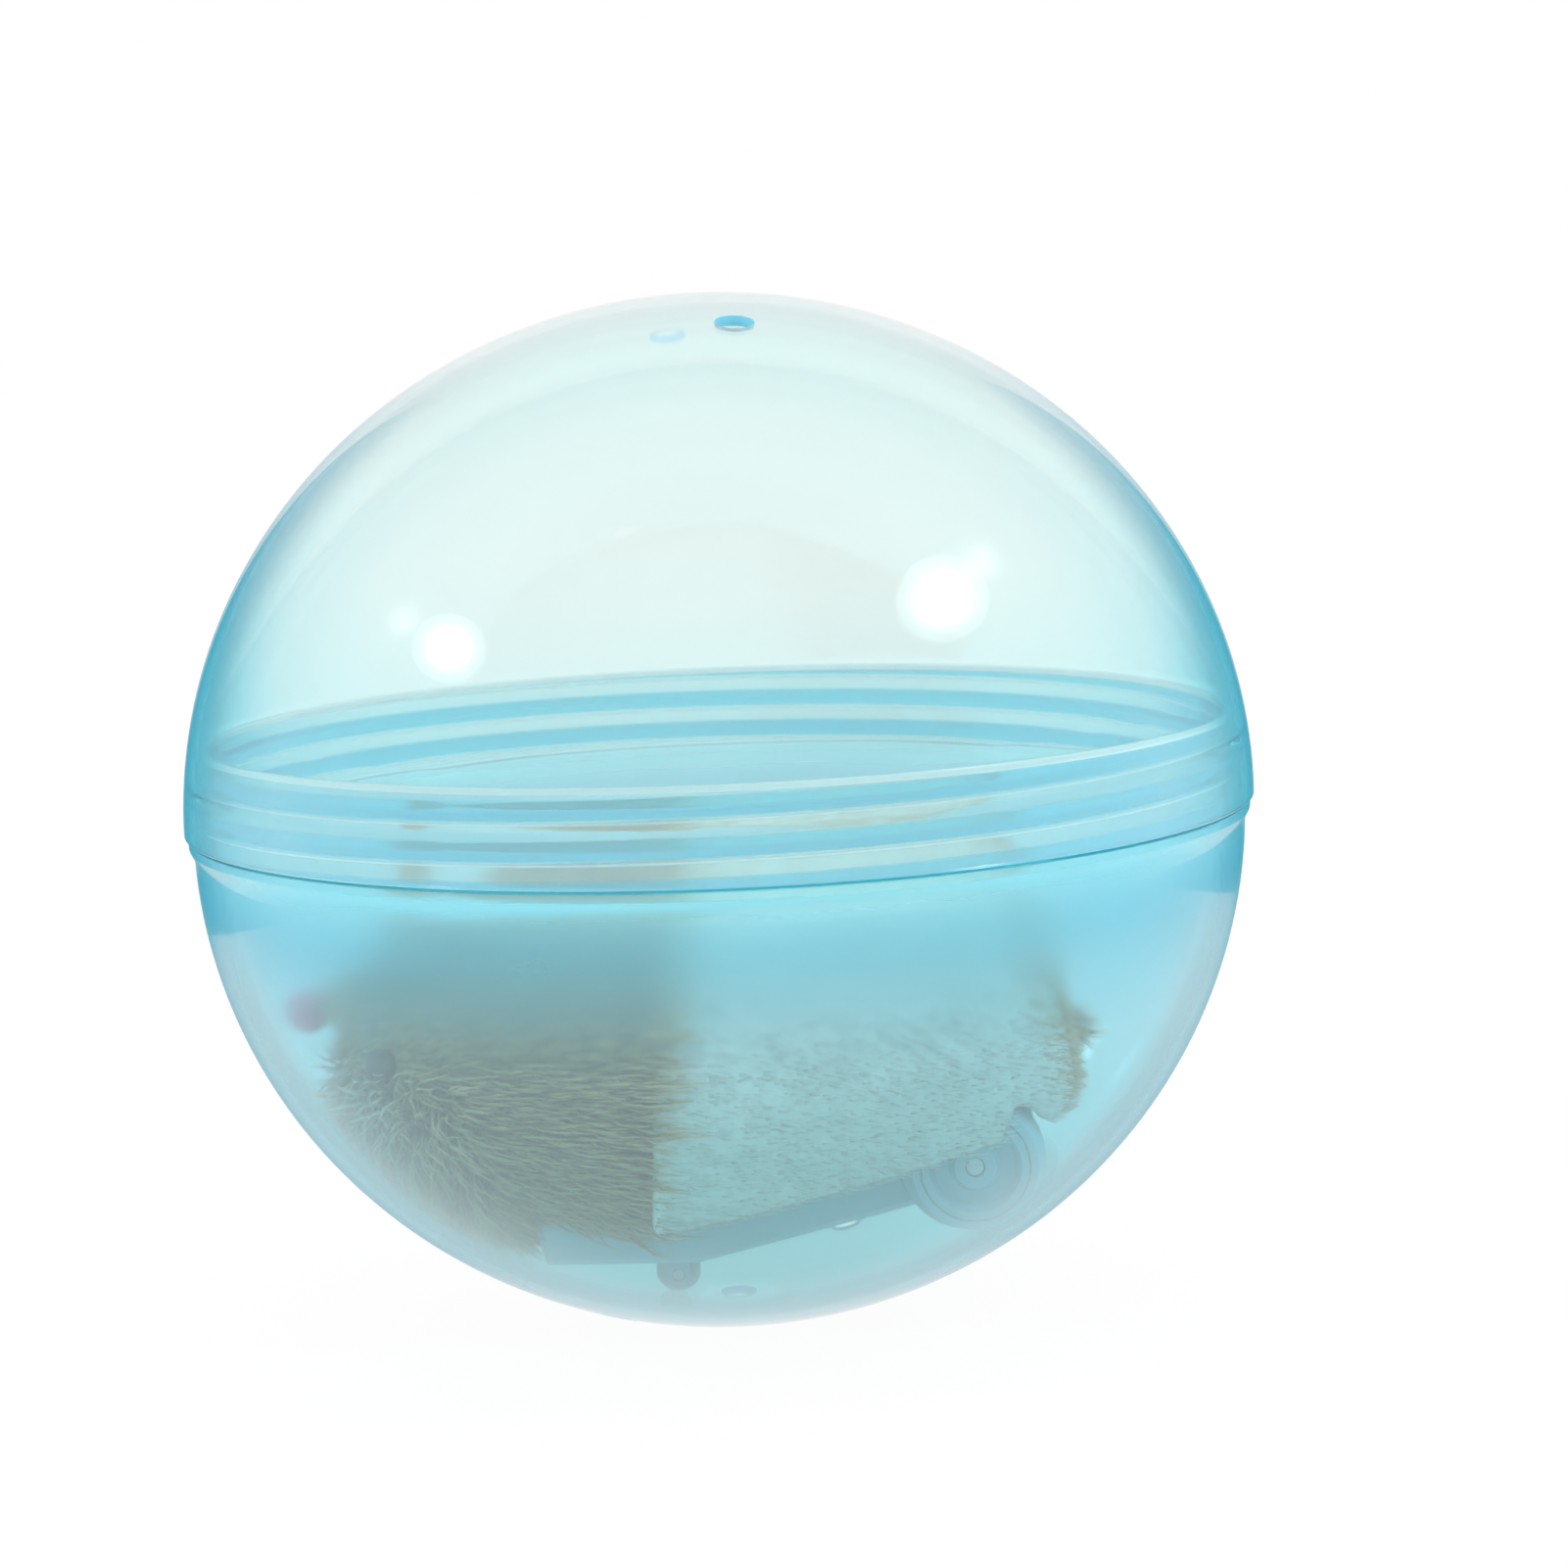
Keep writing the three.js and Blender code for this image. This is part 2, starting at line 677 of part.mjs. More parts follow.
function chassisBase() {
  const outer = acrossY(baseOutline(), -chassisHalf, chassisHalf, { edge: chassisEdge });
  const floor = bellyZ + chassisWall / 2;
  const bayHalf = chassisHalf - seat;
  const bayWall = box(bayWallX, bayWallX + chassisWall, -bayHalf, bayHalf, floor, splitZ);
  const doorBossTop = doorScrewTipZ + doorBossCap;
  const doorBoss = postZ(doorBossRadius, doorScrewX, 0, bellyZ + chassisWall + seat, doorBossTop);
  const bosses = screwPlaces.map(([x, y]) => postZ(bossRadius, x, y, bellyZ - chassisWall, splitZ));
  const inner = common(join(bayWall, doorBoss, ...motorCradles(floor), ...bosses), outer);
  const tray = join(cut(outer, baseInside()), inner, rollerEar(1), rollerEar(-1));
  return cut(tray, ...trayCuts());
}

function chassisCover() {
  const outer = acrossY(coverOutline(), -chassisHalf, chassisHalf, { edge: chassisEdge });
  const inside = inset(coverOutline(), chassisWall);
  const openBottom = splitZ - chassisWall;
  const lowered = inside.map(([x, z], i) => (i < 2 ? [x, openBottom] : [x, z]));
  const shell = cut(outer, acrossY(lowered, -wallInnerY, wallInnerY));
  const bosses = screwPlaces.map(([x, y]) => postZ(bossRadius, x, y, splitZ + seat, coverTopZ));
  const pilots = screwPlaces.map(([x, y]) =>
    postZ(screwShankRadius + runningFit, x, y, splitZ, screwTipZ + seat));
  return cut(join(shell, common(join(...bosses), outer)), ...pilots);
}

function screw(x, y, seatZ, tipZ) {
  const underHead = seatZ - seat;
  const head = postZ(screwHeadRadius, x, y, underHead - screwHeadHeight, underHead);
  return join(head, postZ(screwShankRadius, x, y, underHead - screwHeadHeight / 2, tipZ));
}

function batteryDoor() {
  const plate = box(doorFrontX, doorRearX, -doorHalf, doorHalf, bellyZ, bellyZ + chassisWall);
  const recess = postZ(screwHeadRadius + seat, doorScrewX, 0, bellyZ - seat, bellyZ + chassisWall / 2);
  const hole = postZ(screwShankRadius + seat, doorScrewX, 0, bellyZ, bellyZ + 2 * chassisWall);
  return cut(plate, recess, hole);
}

piece(toy, "chassis_base", chassisBase(), greyPlastic);
piece(toy, "chassis_cover", chassisCover(), greyPlastic);
piece(toy, "battery_door", batteryDoor(), greyPlastic);
screwPlaces.forEach(([x, y], i) => {
  piece(toy, `chassis_screw_${i + 1}`, screw(x, y, screwSeatZ, screwTipZ), steel);
});
const doorScrewSeat = bellyZ + chassisWall / 2 + seat;
piece(toy, "battery_door_screw", screw(doorScrewX, 0, doorScrewSeat, doorScrewTipZ), steel);

// Battery bay

function buttonCell(y0) {
  const y1 = y0 + cellThickness;
  const capRadius = cellRadius - cellCapInset;
  const outline = [
    [0, y0],
    [cellRadius, y0],
    [cellRadius, y1 - cellCapInset],
    [capRadius, y1 - cellCapInset / 2],
    [capRadius, y1],
    [0, y1],
  ];
  return turned(outline, cellX, cellZ);
}

const cellPitch = cellThickness + seat;
const contactY = seat - wallInnerY;
const cellStartY = contactY + plateThickness + seat;
const springStartY = cellStartY + cellCount * cellPitch;

function contactPlate() {
  const half = plateWidth / 2;
  const [z0, z1] = [cellZ - cellRadius / 2, cellZ + cellRadius + seat];
  return box(cellX - half, cellX + half, contactY, contactY + plateThickness, z0, z1);
}

// A cone spring that bears on the last cell with its small end
function springPoints() {
  const count = springTurns * springSteps;
  const [y0, y1] = [springStartY + springWire / 2, wallInnerY - seat - springWire / 2];
  return Array.from({ length: count + 1 }, (_, i) => {
    const share = i / count;
    const angle = 2 * Math.PI * springTurns * share;
    const radius = THREE.MathUtils.lerp(springTipRadius, springRadius, share);
    const y = THREE.MathUtils.lerp(y0, y1, share);
    return [cellX + radius * Math.cos(angle), y, cellZ + radius * Math.sin(angle)];
  });
}

function leastSpringGap(points) {
  const gaps = points.slice(springSteps).map(([x, y, z], i) => {
    const [x0, y0, z0] = points[i];
    return Math.hypot(x - x0, y - y0, z - z0) - springWire;
  });
  return Math.min(...gaps);
}

for (let i = 0; i < cellCount; i += 1) {
  piece(toy, `button_cell_${i + 1}`, buttonCell(cellStartY + i * cellPitch), steel);
}
piece(toy, "battery_contact", contactPlate(), steel);
const spring = springPoints();
console.log(`Least gap between the battery spring's turns: ${leastSpringGap(spring).toFixed(2)} mm`);
piece(toy, "battery_spring", wire(spring, springWire / 2, springTurns * springSteps), steel);

// Switch

function switchBody() {
  const [halfLength, halfWidth] = [switchLength / 2, switchWidth / 2];
  const floor = chassisWall + seat;
  return switchFrame(box(-halfLength, halfLength, -halfWidth, halfWidth, floor, floor + switchHeight));
}

// The knob stands at the off end of its slot, with finger ridges underneath
function switchKnob() {
  const x0 = -(knobTravel + knobLength) / 2;
  const pitch = knobLength / (2 * knobRidges - 1);
  const ridges = Array.from({ length: knobRidges }, (_, i) => {
    const left = x0 + 2 * i * pitch;
    return [
      [left, -knobProud],
      [left + pitch, -knobProud],
      [left + pitch, -knobProud / 2],
      [left + 2 * pitch, -knobProud / 2],
    ];
  });
  const outline = [[x0, chassisWall], ...ridges.flat().slice(0, -2), [x0 + knobLength, chassisWall]];
  return switchFrame(acrossY(outline, -knobWidth / 2, knobWidth / 2));
}

piece(toy, "switch_body", switchBody(), darkPlastic);
piece(toy, "switch_knob", switchKnob(), darkPlastic);

// Drive train

function motorCan() {
  const flatAngle = Math.acos(motorFlat / 2 / motorRadius);
  const outline = new THREE.Shape();
  outline.absarc(motorX, motorZ, motorRadius, flatAngle, Math.PI - flatAngle);
  outline.absarc(motorX, motorZ, motorRadius, Math.PI + flatAngle, 2 * Math.PI - flatAngle);
  const points = outline.getPoints(smallSides / 2).map((p) => [p.x, p.y]);
  const can = acrossY(points, motorFrontY - motorLength, motorFrontY);
  const bossEnd = motorFrontY + motorBossLength;
  const boss = pinY(motorBossRadius, motorX, motorZ, motorFrontY - motorBossLength, bossEnd);
  const boreStart = motorFrontY - shaftDepth - shaftEndGap;
  const bore = pinY(motorShaftRadius + runningFit, motorX, motorZ, boreStart, bossEnd + seat);
  return cut(join(can, boss), bore);
}

// A gear turned in its own plane and set on its centre
function placedGear(teeth, x, z, phase, y0, y1, boreRadius) {
  return gear(teeth, y0, y1, boreRadius).rotateY(-degrees(phase)).translate(x, 0, z);
}

const halfTooth = (teeth) => 180 / teeth;

function motorPinion() {
  const phase = pinionMeshAngle + 180 + halfTooth(pinionTeeth);
  const teeth = placedGear(pinionTeeth, motorX, motorZ, phase, largeGearY - seat, largeGearEnd, 0);
  return join(teeth, pinY(motorShaftRadius, motorX, motorZ, motorFrontY - shaftDepth, largeGearEnd));
}

function reductionGear() {
  const bore = gearPinRadius + runningFit;
  const large = placedGear(largeGearTeeth, layX, layZ, pinionMeshAngle, largeGearY, largeGearEnd, bore);
  const phase = axleMeshAngle + 180 + halfTooth(smallGearTeeth);
  const root = largeGearEnd - gearThickness / 2;
  return join(large, placedGear(smallGearTeeth, layX, layZ, phase, root, axleGearEnd, bore));
}

function axleGear() {
  const bore = axleRadius + runningFit;
  return placedGear(axleGearTeeth, axleX, axleZ, axleMeshAngle, axleGearY, axleGearEnd, bore);
}

function axleBush(side) {
  const bore = axleRadius + runningFit;
  const outerFace = chassisHalf + runningFit;
  const outline = [
    [bore, wallInnerY],
    [bushRadius, wallInnerY],
    [bushRadius, outerFace],
    [bushFlangeRadius, outerFace],
    [bushFlangeRadius, outerFace + bushFlange],
    [bore, outerFace + bushFlange],
  ];
  return turned(outline.map(([radius, y]) => [radius, side * y]), axleX, axleZ);
}

piece(toy, "motor", motorCan(), steel);
piece(toy, "motor_pinion", motorPinion(), whiteNylon);
piece(toy, "reduction_gear", reductionGear(), whiteNylon);
piece(toy, "reduction_pin", pinY(gearPinRadius, layX, layZ, largeGearY - seat, chassisHalf), steel);
piece(toy, "axle_gear", axleGear(), whiteNylon);
const axleEnd = wheelOuterY - seat;
piece(toy, "rear_axle", pinY(axleRadius, axleX, axleZ, -axleEnd, axleEnd), steel);

// Wheels

// Running radius of a wheel at one distance from the ball's middle plane
const runReach = (y, x, z) => runAt(y) - Math.hypot(x, z);

function driveWheel(side) {
  const bore = axleRadius + runningFit;
  const rim = wheelRadius - wheelRim;
  const dishFloor = wheelOuterY - wheelDish;
  const outline = [
    [bore, wheelInnerY],
    [wheelRadius, wheelInnerY],
    [wheelRadius, wheelOuterY],
    [rim, wheelOuterY],
    [rim - wheelDish / 2, dishFloor],
    [wheelHubRadius + wheelDish / 2, dishFloor],
    [wheelHubRadius, wheelOuterY],
    [bore, wheelOuterY],
  ];
  return turned(outline.map(([radius, y]) => [radius, side * y]), axleX, axleZ, wheelSides);
}

// The tyre's crown follows the ball, so it bears across its whole width
function tyre(side) {
  const inner = wheelRadius + runningFit;
  const crown = Array.from({ length: crownSteps + 1 }, (_, i) => {
    const y = THREE.MathUtils.lerp(wheelInnerY, wheelOuterY, i / crownSteps);
    return [runReach(y, axleX, axleZ), y];
  });
  const outline = [[inner, wheelInnerY], ...crown, [inner, wheelOuterY]];
  return turned(outline.map(([radius, y]) => [radius, side * y]), axleX, axleZ, tyreSides);
}

for (const [name, side] of [["left", -1], ["right", 1]]) {
  piece(toy, `axle_bush_${name}`, axleBush(side), whiteNylon);
  piece(toy, `drive_wheel_${name}`, driveWheel(side), greyPlastic);
  piece(toy, `tyre_${name}`, tyre(side), rubber);
}

function frontRoller() {
  const bore = rollerPinRadius + runningFit;
  const half = rollerWidth / 2;
  const shoulder = rollerRadius - rollerChamfer;
  const outline = [
    [bore, -half],
    [shoulder, -half],
    [rollerRadius, rollerChamfer - half],
    [rollerRadius, half - rollerChamfer],
    [shoulder, half],
    [bore, half],
  ];
  return turned(outline, rollerX, rollerZ);
}

const rollerPinEnd = rollerWidth / 2 + seat + rollerEarWall;
piece(toy, "front_roller", frontRoller(), greyPlastic);
piece(toy, "front_roller_pin", pinY(rollerPinRadius, rollerX, rollerZ, -rollerPinEnd, rollerPinEnd), steel);

// Leads, laid by hand over the cells and round the motor's rear end
// Their X starts at the cells' middle and their Z at the split

const [leftWall, rightWall] = [-wallInnerY, wallInnerY];
const batteryLead = [
  [0, leftWall + 0.8, 1.6],
  [-1, leftWall + 1.2, 3.7],
  [-6, leftWall + 4.4, 4.1],
  [-12, -4, 2.7],
  [-16.5, -1.6, -0.7],
  [-17.6, -1.2, -3.8],
];
const switchLead = [
  [-13.7, 1.2, -4.8],
  [-12.4, 1.5, -0.7],
  [-7, 0, 2.7],
  [0, -4, 3.1],
  [6, leftWall + 2.4, 3.3],
  [10, leftWall + 1.1, 3.3],
  [13.5, leftWall + 1.1, 3.3],
];
const motorLead = [
  [0, rightWall - 1.6, -1.1],
  [1, rightWall - 2, 2.8],
  [5.5, rightWall - 6.4, 5.3],
  [6.4, -3, 5.8],
  [7.2, leftWall + 3.4, 6.3],
  [10.2, leftWall + 1.1, 6.7],
  [13.5, leftWall + 1.1, 6.7],
];

function lead(points) {
  return wire(points, leadRadius, leadSteps).translate(cellX, 0, splitZ);
}

piece(toy, "battery_lead", lead(batteryLead), redInsulation);
piece(toy, "switch_lead", lead(switchLead), redInsulation);
piece(toy, "motor_lead", lead(motorLead), blackInsulation);

// Plush

// Room for the chassis and the wheels inside the plush, open below the hem
function plushHollow() {
  const halfWidth = chassisHalf + plushGap;
  const tray = acrossY(inset(baseOutline(), -plushGap), -halfWidth, halfWidth);
  const cover = acrossY(inset(coverOutline(), -plushGap), -halfWidth, halfWidth);
  const wellRadius = tyreRadius + plushGap;
  const wellEnd = wheelOuterY + plushGap;
  const wells = pinY(wellRadius, axleX, axleZ, -wellEnd, wellEnd, roundSides);
  const below = box(-bowlRadius, bowlRadius, -bowlRadius, bowlRadius, -2 * bowlRadius, hemZ);
  return join(tray, cover, wells, below);
}

// The half space in front of (-1) or behind (1) the sewn seam between head and body
function beyondSeam(side) {
  const near = -seat / 2;
  const far = 2 * bowlRadius;
  const block = side > 0 ? box(near, far, -far, far, -far, far) : box(-far, -near, -far, far, -far, far);
  return block.rotateY(degrees(seamLean)).translate(seamX, 0, hemZ);
}

// Distance of a stuffed form's skin from the middle plane at one place on its side
function skinY(form, x, z) {
  const along = (2 * (x - form.frontX)) / (form.rearX - form.frontX) - 1;
  const { swell, centreZ, halfHeight } = stuffedSection(form, along);
  return form.halfWidth * Math.sqrt(swell ** 2 - ((z - centreZ) / halfHeight) ** 2);
}

const hollow = plushHollow();
const headSpace = join(stuffedForm(head, seat), stuffedForm(snout, seat));

function bead(radius, x, y, z) {
  const ball = new THREE.SphereGeometry(radius, roundSides, smallSides).translate(x, y, z);
  return cut(ball, headSpace);
}

function plushHead() {
  return cut(join(stuffedForm(head), stuffedForm(snout)), hollow, beyondSeam(1));
}

function ear(side) {
  const lobe = new THREE.SphereGeometry(1, roundSides, smallSides);
  lobe.scale(earThickness, earRadius, earRadius).rotateX(-side * degrees(earSplay));
  return cut(lobe.translate(noseX + earSetback, side * earSpread, noseZ + earRise), headSpace);
}

function eye(side) {
  const [x, z] = [noseX + eyeSetback, noseZ - eyeDrop];
  return bead(eyeRadius, x, side * skinY(head, x, z), z);
}

piece(toy, "plush_body", cut(stuffedForm(body), hollow, beyondSeam(-1)), whiteFur);
piece(toy, "plush_head", plushHead(), tanFur);
piece(toy, "plush_tail", cut(stuffedForm(tail), stuffedForm(body, seat), hollow), tanFur);
piece(toy, "nose_ball", bead(noseRadius, noseX, 0, noseZ), pinkPlastic);
for (const [name, side] of [["left", -1], ["right", 1]]) {
  piece(toy, `ear_${name}`, ear(side), tanFur);
  piece(toy, `eye_${name}`, eye(side), blackBead);
}

export default assembly;
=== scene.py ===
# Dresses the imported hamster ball: a hazy two-part shell, a plush hamster and its moulded chassis.
import json
import math

import bmesh
import bpy
from mathutils import Euler, Matrix, Vector
from mathutils.bvhtree import BVHTree


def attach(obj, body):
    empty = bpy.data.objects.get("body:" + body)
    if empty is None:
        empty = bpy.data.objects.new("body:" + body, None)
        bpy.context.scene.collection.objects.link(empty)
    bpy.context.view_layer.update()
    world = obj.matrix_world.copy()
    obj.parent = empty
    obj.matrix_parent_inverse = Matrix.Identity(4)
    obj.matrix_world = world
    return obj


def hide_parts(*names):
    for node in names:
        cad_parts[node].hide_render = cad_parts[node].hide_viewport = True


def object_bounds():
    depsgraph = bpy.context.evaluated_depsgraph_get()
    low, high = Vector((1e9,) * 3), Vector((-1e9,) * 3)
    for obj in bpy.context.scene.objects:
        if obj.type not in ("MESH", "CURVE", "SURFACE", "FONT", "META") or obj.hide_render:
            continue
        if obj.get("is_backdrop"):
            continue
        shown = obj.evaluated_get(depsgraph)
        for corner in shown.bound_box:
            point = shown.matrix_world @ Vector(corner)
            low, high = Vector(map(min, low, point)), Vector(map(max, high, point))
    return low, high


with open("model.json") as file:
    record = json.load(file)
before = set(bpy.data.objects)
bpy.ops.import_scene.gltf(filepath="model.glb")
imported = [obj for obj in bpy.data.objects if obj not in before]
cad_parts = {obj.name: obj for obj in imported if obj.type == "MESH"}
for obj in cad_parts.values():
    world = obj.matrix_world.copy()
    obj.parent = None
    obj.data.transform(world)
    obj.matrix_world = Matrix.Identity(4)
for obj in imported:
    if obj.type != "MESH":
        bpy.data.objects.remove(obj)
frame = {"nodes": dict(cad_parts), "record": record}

cad_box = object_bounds()
MM = 0.001

# Camera, from the photograph's frame
PHOTO_SIDE = 1601
BALL_PIXEL = (734, 826)
FOCAL_PIXELS = 3750
CAMERA_DISTANCE = 0.430
CAMERA_ELEVATION = 8
CAMERA_ROLL = 2.4
SENSOR = 36
CLIP_START = 10 * MM

# Lamps: the two glints they leave on the lid, and their distance and radius
GLINTS = {"lamp_left": (468, 655, 0.055), "lamp_right": (953, 604, 0.070)}
LAMP_DISTANCE = 1.0
LAMP_RINGS = ((0.55, 30), (0.8, 10), (1.05, 4.5), (1.3, 2.4), (1.6, 1.3), (2.0, 0.7))
LAMP_STRETCH = 1.5
FILL_LEVEL = 1.3

# Floor: its radius, how much of it glows by itself, and how much more where it is seen
FLOOR_RADIUS = 6.0
FLOOR_SEGMENTS = 96
FLOOR_GLOW = 0.6
FLOOR_SEEN_GLOW = 0.36

# Side cards: their ends in plan, their top, and the heights between which they pale
FLAG_FROM = (130 * MM, 240 * MM)
FLAG_TO = (262 * MM, 20 * MM)
FLAG_TOP = 190 * MM
FLAG_FADE = (40 * MM, 190 * MM)

# Ball, as in the frame
BALL_RADIUS = 60 * MM
WALL = 1.2 * MM
BOWL_RADIUS = 61 * MM
BOWL_EDGE_Z = -0.4 * MM
FOOT_RADIUS = 5 * MM
FLANGE_RADIUS = 61.6 * MM
FLANGE_TOP_Z = 0.3 * MM
FLANGE_HEIGHT = 1 * MM
NECK_ROOT = 60.2 * MM
NECK_TOP = 59.5 * MM
NECK_WALL = 0.75 * MM
NECK_TOP_Z = 10.8 * MM
LID_RADIUS = 62.05 * MM
LID_EDGE_Z = 0.6 * MM
VENT_RADIUS = 2.2 * MM
VENT_SEGMENTS = 40
DRILL_LENGTH = 30 * MM
LID_VENTS = ((20, 11), (-20, 11))
BOWL_VENTS = ((0, -38), (22, -38), (-22, -38))
SHELL_SEGMENTS = 192
ARC_STEPS = 56
SKIRT_TURN = 12
SKIRT_STEPS = 40
EDGE_ROUND = 0.3 * MM
FLANGE_ROUND = 0.8 * EDGE_ROUND
EDGE_STEPS = 4
SMOOTH_ANGLE = 40
ALL_SMOOTH = 180

# Screw thread between bowl and lid
THREAD_PITCH = 4.1 * MM
THREAD_WIDTH = 2.4 * MM
THREAD_Z = 1.5 * MM
NECK_THREAD_SPAN = (-0.3, 1.95)
NECK_THREAD_HEIGHT = 0.25 * MM
LID_THREAD_SPAN = (0.2, 1.5)
LID_THREAD_HEIGHT = 0.1 * MM
THREAD_RUN_OUT = 0.12
NECK_STEPS = 120

# Bands that the thread shows on the neck, with the bright gleam lines a painted highlight: half widths, soft
# edges and places
NECK_SOFT = 0.1 * MM
RIDGE_HALF = 1.2 * MM
RIDGE_SOFT = 0.3 * MM
GLEAM_BELOW = 1.45 * MM
GLEAM_HALF = 0.2 * MM
GLEAM_SOFT = 0.12 * MM
GLEAM_LEVEL = 0.7
RIM_HEIGHT = 0.9 * MM
RIM_SOFT = 0.2 * MM

# Hamster
TOY_TILT = 13
RUN_RADIUS = 58.0 * MM
SOFT_ROUNDS = 6
SOFT_FACTOR = 0.5
MERGE_DISTANCE = 1e-6
PILE_FLOW = (1.0, 0.0, -0.25)
PILE_ROOM = 5 * MM
PILE_START = 0.15 * MM
TONE_SEED = 77

# One hair: its sides, the height and width of its middle ring, its tip, and the least and most of its size
STRAND_SIDES = 3
STRAND_MIDDLE = 0.55
STRAND_TAPER = 0.45
STRAND_TIP = 0.94
STRAND_SIZES = (0.65, 1.25)

# Longer hair at the chin, trimmed hair round the nose, and hair over the seam between head and body
CHIN_FROM = 34 * MM
CHIN_BELOW = 15 * MM
CHIN_RAMP = 7 * MM
CHIN_GAIN = 0.9
NOSE_AT = (-50 * MM, 0, -20.8 * MM)
TRIM_FROM = 5 * MM
TRIM_TO = 10.5 * MM
TRIM_SHARE = 0.85
SEAM_X = -8 * MM
SEAM_STEP = 1 * MM
SEAM_REACH = 6 * MM
SEAM_RAMP = 4 * MM
SEAM_GAIN = 0.8
SEAM_OVERLAP = 1.6 * MM
SEAM_SOFT = 2.5 * MM

# Tan and pale patches of the plush, along and up the hamster, with ragged edges
RAGGED_SCALE = 160.0
RAGGED_DEPTH = 8 * MM
RUMP_FROM = 27.5 * MM
RUMP_SOFT = 3 * MM
SPINE_FROM = -9 * MM
SPINE_SOFT = 4 * MM
MUZZLE_FROM = -42 * MM
MUZZLE_SOFT = 5 * MM

# Solids that pile keeps clear of
HAMSTER_SOLIDS = (
    "plush_body", "plush_head", "plush_tail", "ear_left", "ear_right", "nose_ball", "eye_left", "eye_right",
    "chassis_base", "chassis_cover", "drive_wheel_left", "drive_wheel_right", "tyre_left", "tyre_right",
    "front_roller",
)
to_ball = Matrix.Rotation(-math.radians(TOY_TILT), 4, "Y")


def rgb(red, green, blue):
    """A colour given as it shows on screen, 0 to 255, in the linear values that sockets take."""
    parts = [value / 255 for value in (red, green, blue)]
    return tuple(p / 12.92 if p <= 0.04045 else ((p + 0.055) / 1.055) ** 2.4 for p in parts) + (1,)


def toned(colour, level):
    """The same colour, darker or lighter."""
    return tuple(min(1, part * level) for part in colour[:3]) + (1,)


# Node graphs

class Tap:
    """An output socket that takes part in arithmetic: each operation adds a Math node."""

    def __init__(self, graph, socket):
        self.graph = graph
        self.socket = socket

    def math(self, operation, first, second=0.0):
        return self.graph.node("ShaderNodeMath", {"operation": operation}, {0: first, 1: second})[0]

    def __add__(self, other):
        return self.math("ADD", self, other)

    __radd__ = __add__

    def __sub__(self, other):
        return self.math("SUBTRACT", self, other)

    def __rsub__(self, other):
        return self.math("SUBTRACT", other, self)

    def __mul__(self, other):
        return self.math("MULTIPLY", self, other)

    __rmul__ = __mul__

    def __truediv__(self, other):
        return self.math("DIVIDE", self, other)

    def __rtruediv__(self, other):
        return self.math("DIVIDE", other, self)

    def __pow__(self, other):
        return self.math("POWER", self, other)

    def __abs__(self):
        return self.math("ABSOLUTE", self)

    def __round__(self):
        return self.math("ROUND", self)

    def limited(self):
        return self.math("MINIMUM", self.math("MAXIMUM", self, 0.0), 1.0)


class Step:
    """A node whose outputs are read by name or number."""

    def __init__(self, graph, node):
        self.graph = graph
        self.node = node

    def __getitem__(self, key):
        return Tap(self.graph, self.node.outputs[key])


class Graph:
    """A node tree being built, for a material, the world or a modifier."""

    def __init__(self, tree):
        self.tree = tree
        tree.nodes.clear()

    def node(self, kind, settings=None, inputs=None):
        made = self.tree.nodes.new(kind)
        for key, value in (settings or {}).items():
            if key == "stops":
                self.set_stops(made.color_ramp, value)
            else:
                setattr(made, key, value)
        for key, value in (inputs or {}).items():
            if isinstance(value, Tap):
                self.tree.links.new(value.socket, made.inputs[key])
            else:
                made.inputs[key].default_value = value
        return Step(self, made)

    @staticmethod
    def set_stops(ramp, stops):
        while len(ramp.elements) < len(stops):
            ramp.elements.new(1.0)
        for element, (place, colour) in zip(ramp.elements, stops):
            element.position = place
            element.color = colour

    def blend(self, share, first, second):
        """A colour between two, or one colour over another by a mask."""
        return self.node("ShaderNodeMix", {"data_type": "RGBA"}, {0: share, 6: first, 7: second})[2]

    def ramp(self, value, *stops):
        return self.node("ShaderNodeValToRGB", {"stops": stops}, {"Fac": value})["Color"]

    def place(self):
        return self.node("ShaderNodeTexCoord")["Object"]

    def axes(self, vector):
        split = self.node("ShaderNodeSeparateXYZ", None, {0: vector})
        return split["X"], split["Y"], split["Z"]

    def noise(self, scale, detail):
        inputs = {"Scale": scale, "Detail": detail, "Vector": self.place()}
        return self.node("ShaderNodeTexNoise", None, inputs)["Fac"]

    def bump(self, height, strength, distance):
        inputs = {"Height": height, "Strength": strength, "Distance": distance}
        return self.node("ShaderNodeBump", None, inputs)["Normal"]

    def attribute(self, name):
        return self.node("ShaderNodeAttribute", {"attribute_name": name})["Fac"]


class Finish(Graph):
    """A material's graph."""

    def __init__(self, name):
        self.material = bpy.data.materials.new(name)
        self.material.use_nodes = True
        super().__init__(self.material.node_tree)

    def surface(self, shader):
        self.node("ShaderNodeOutputMaterial", None, {"Surface": shader})
        return self.material

    def principled(self, **inputs):
        named = {key.replace("_", " "): value for key, value in inputs.items()}
        return self.node("ShaderNodeBsdfPrincipled", None, named)["BSDF"]

    def mix(self, share, first, second):
        """One shader over another by a mask."""
        return self.node("ShaderNodeMixShader", None, {0: share, 1: first, 2: second})["Shader"]


# Materials

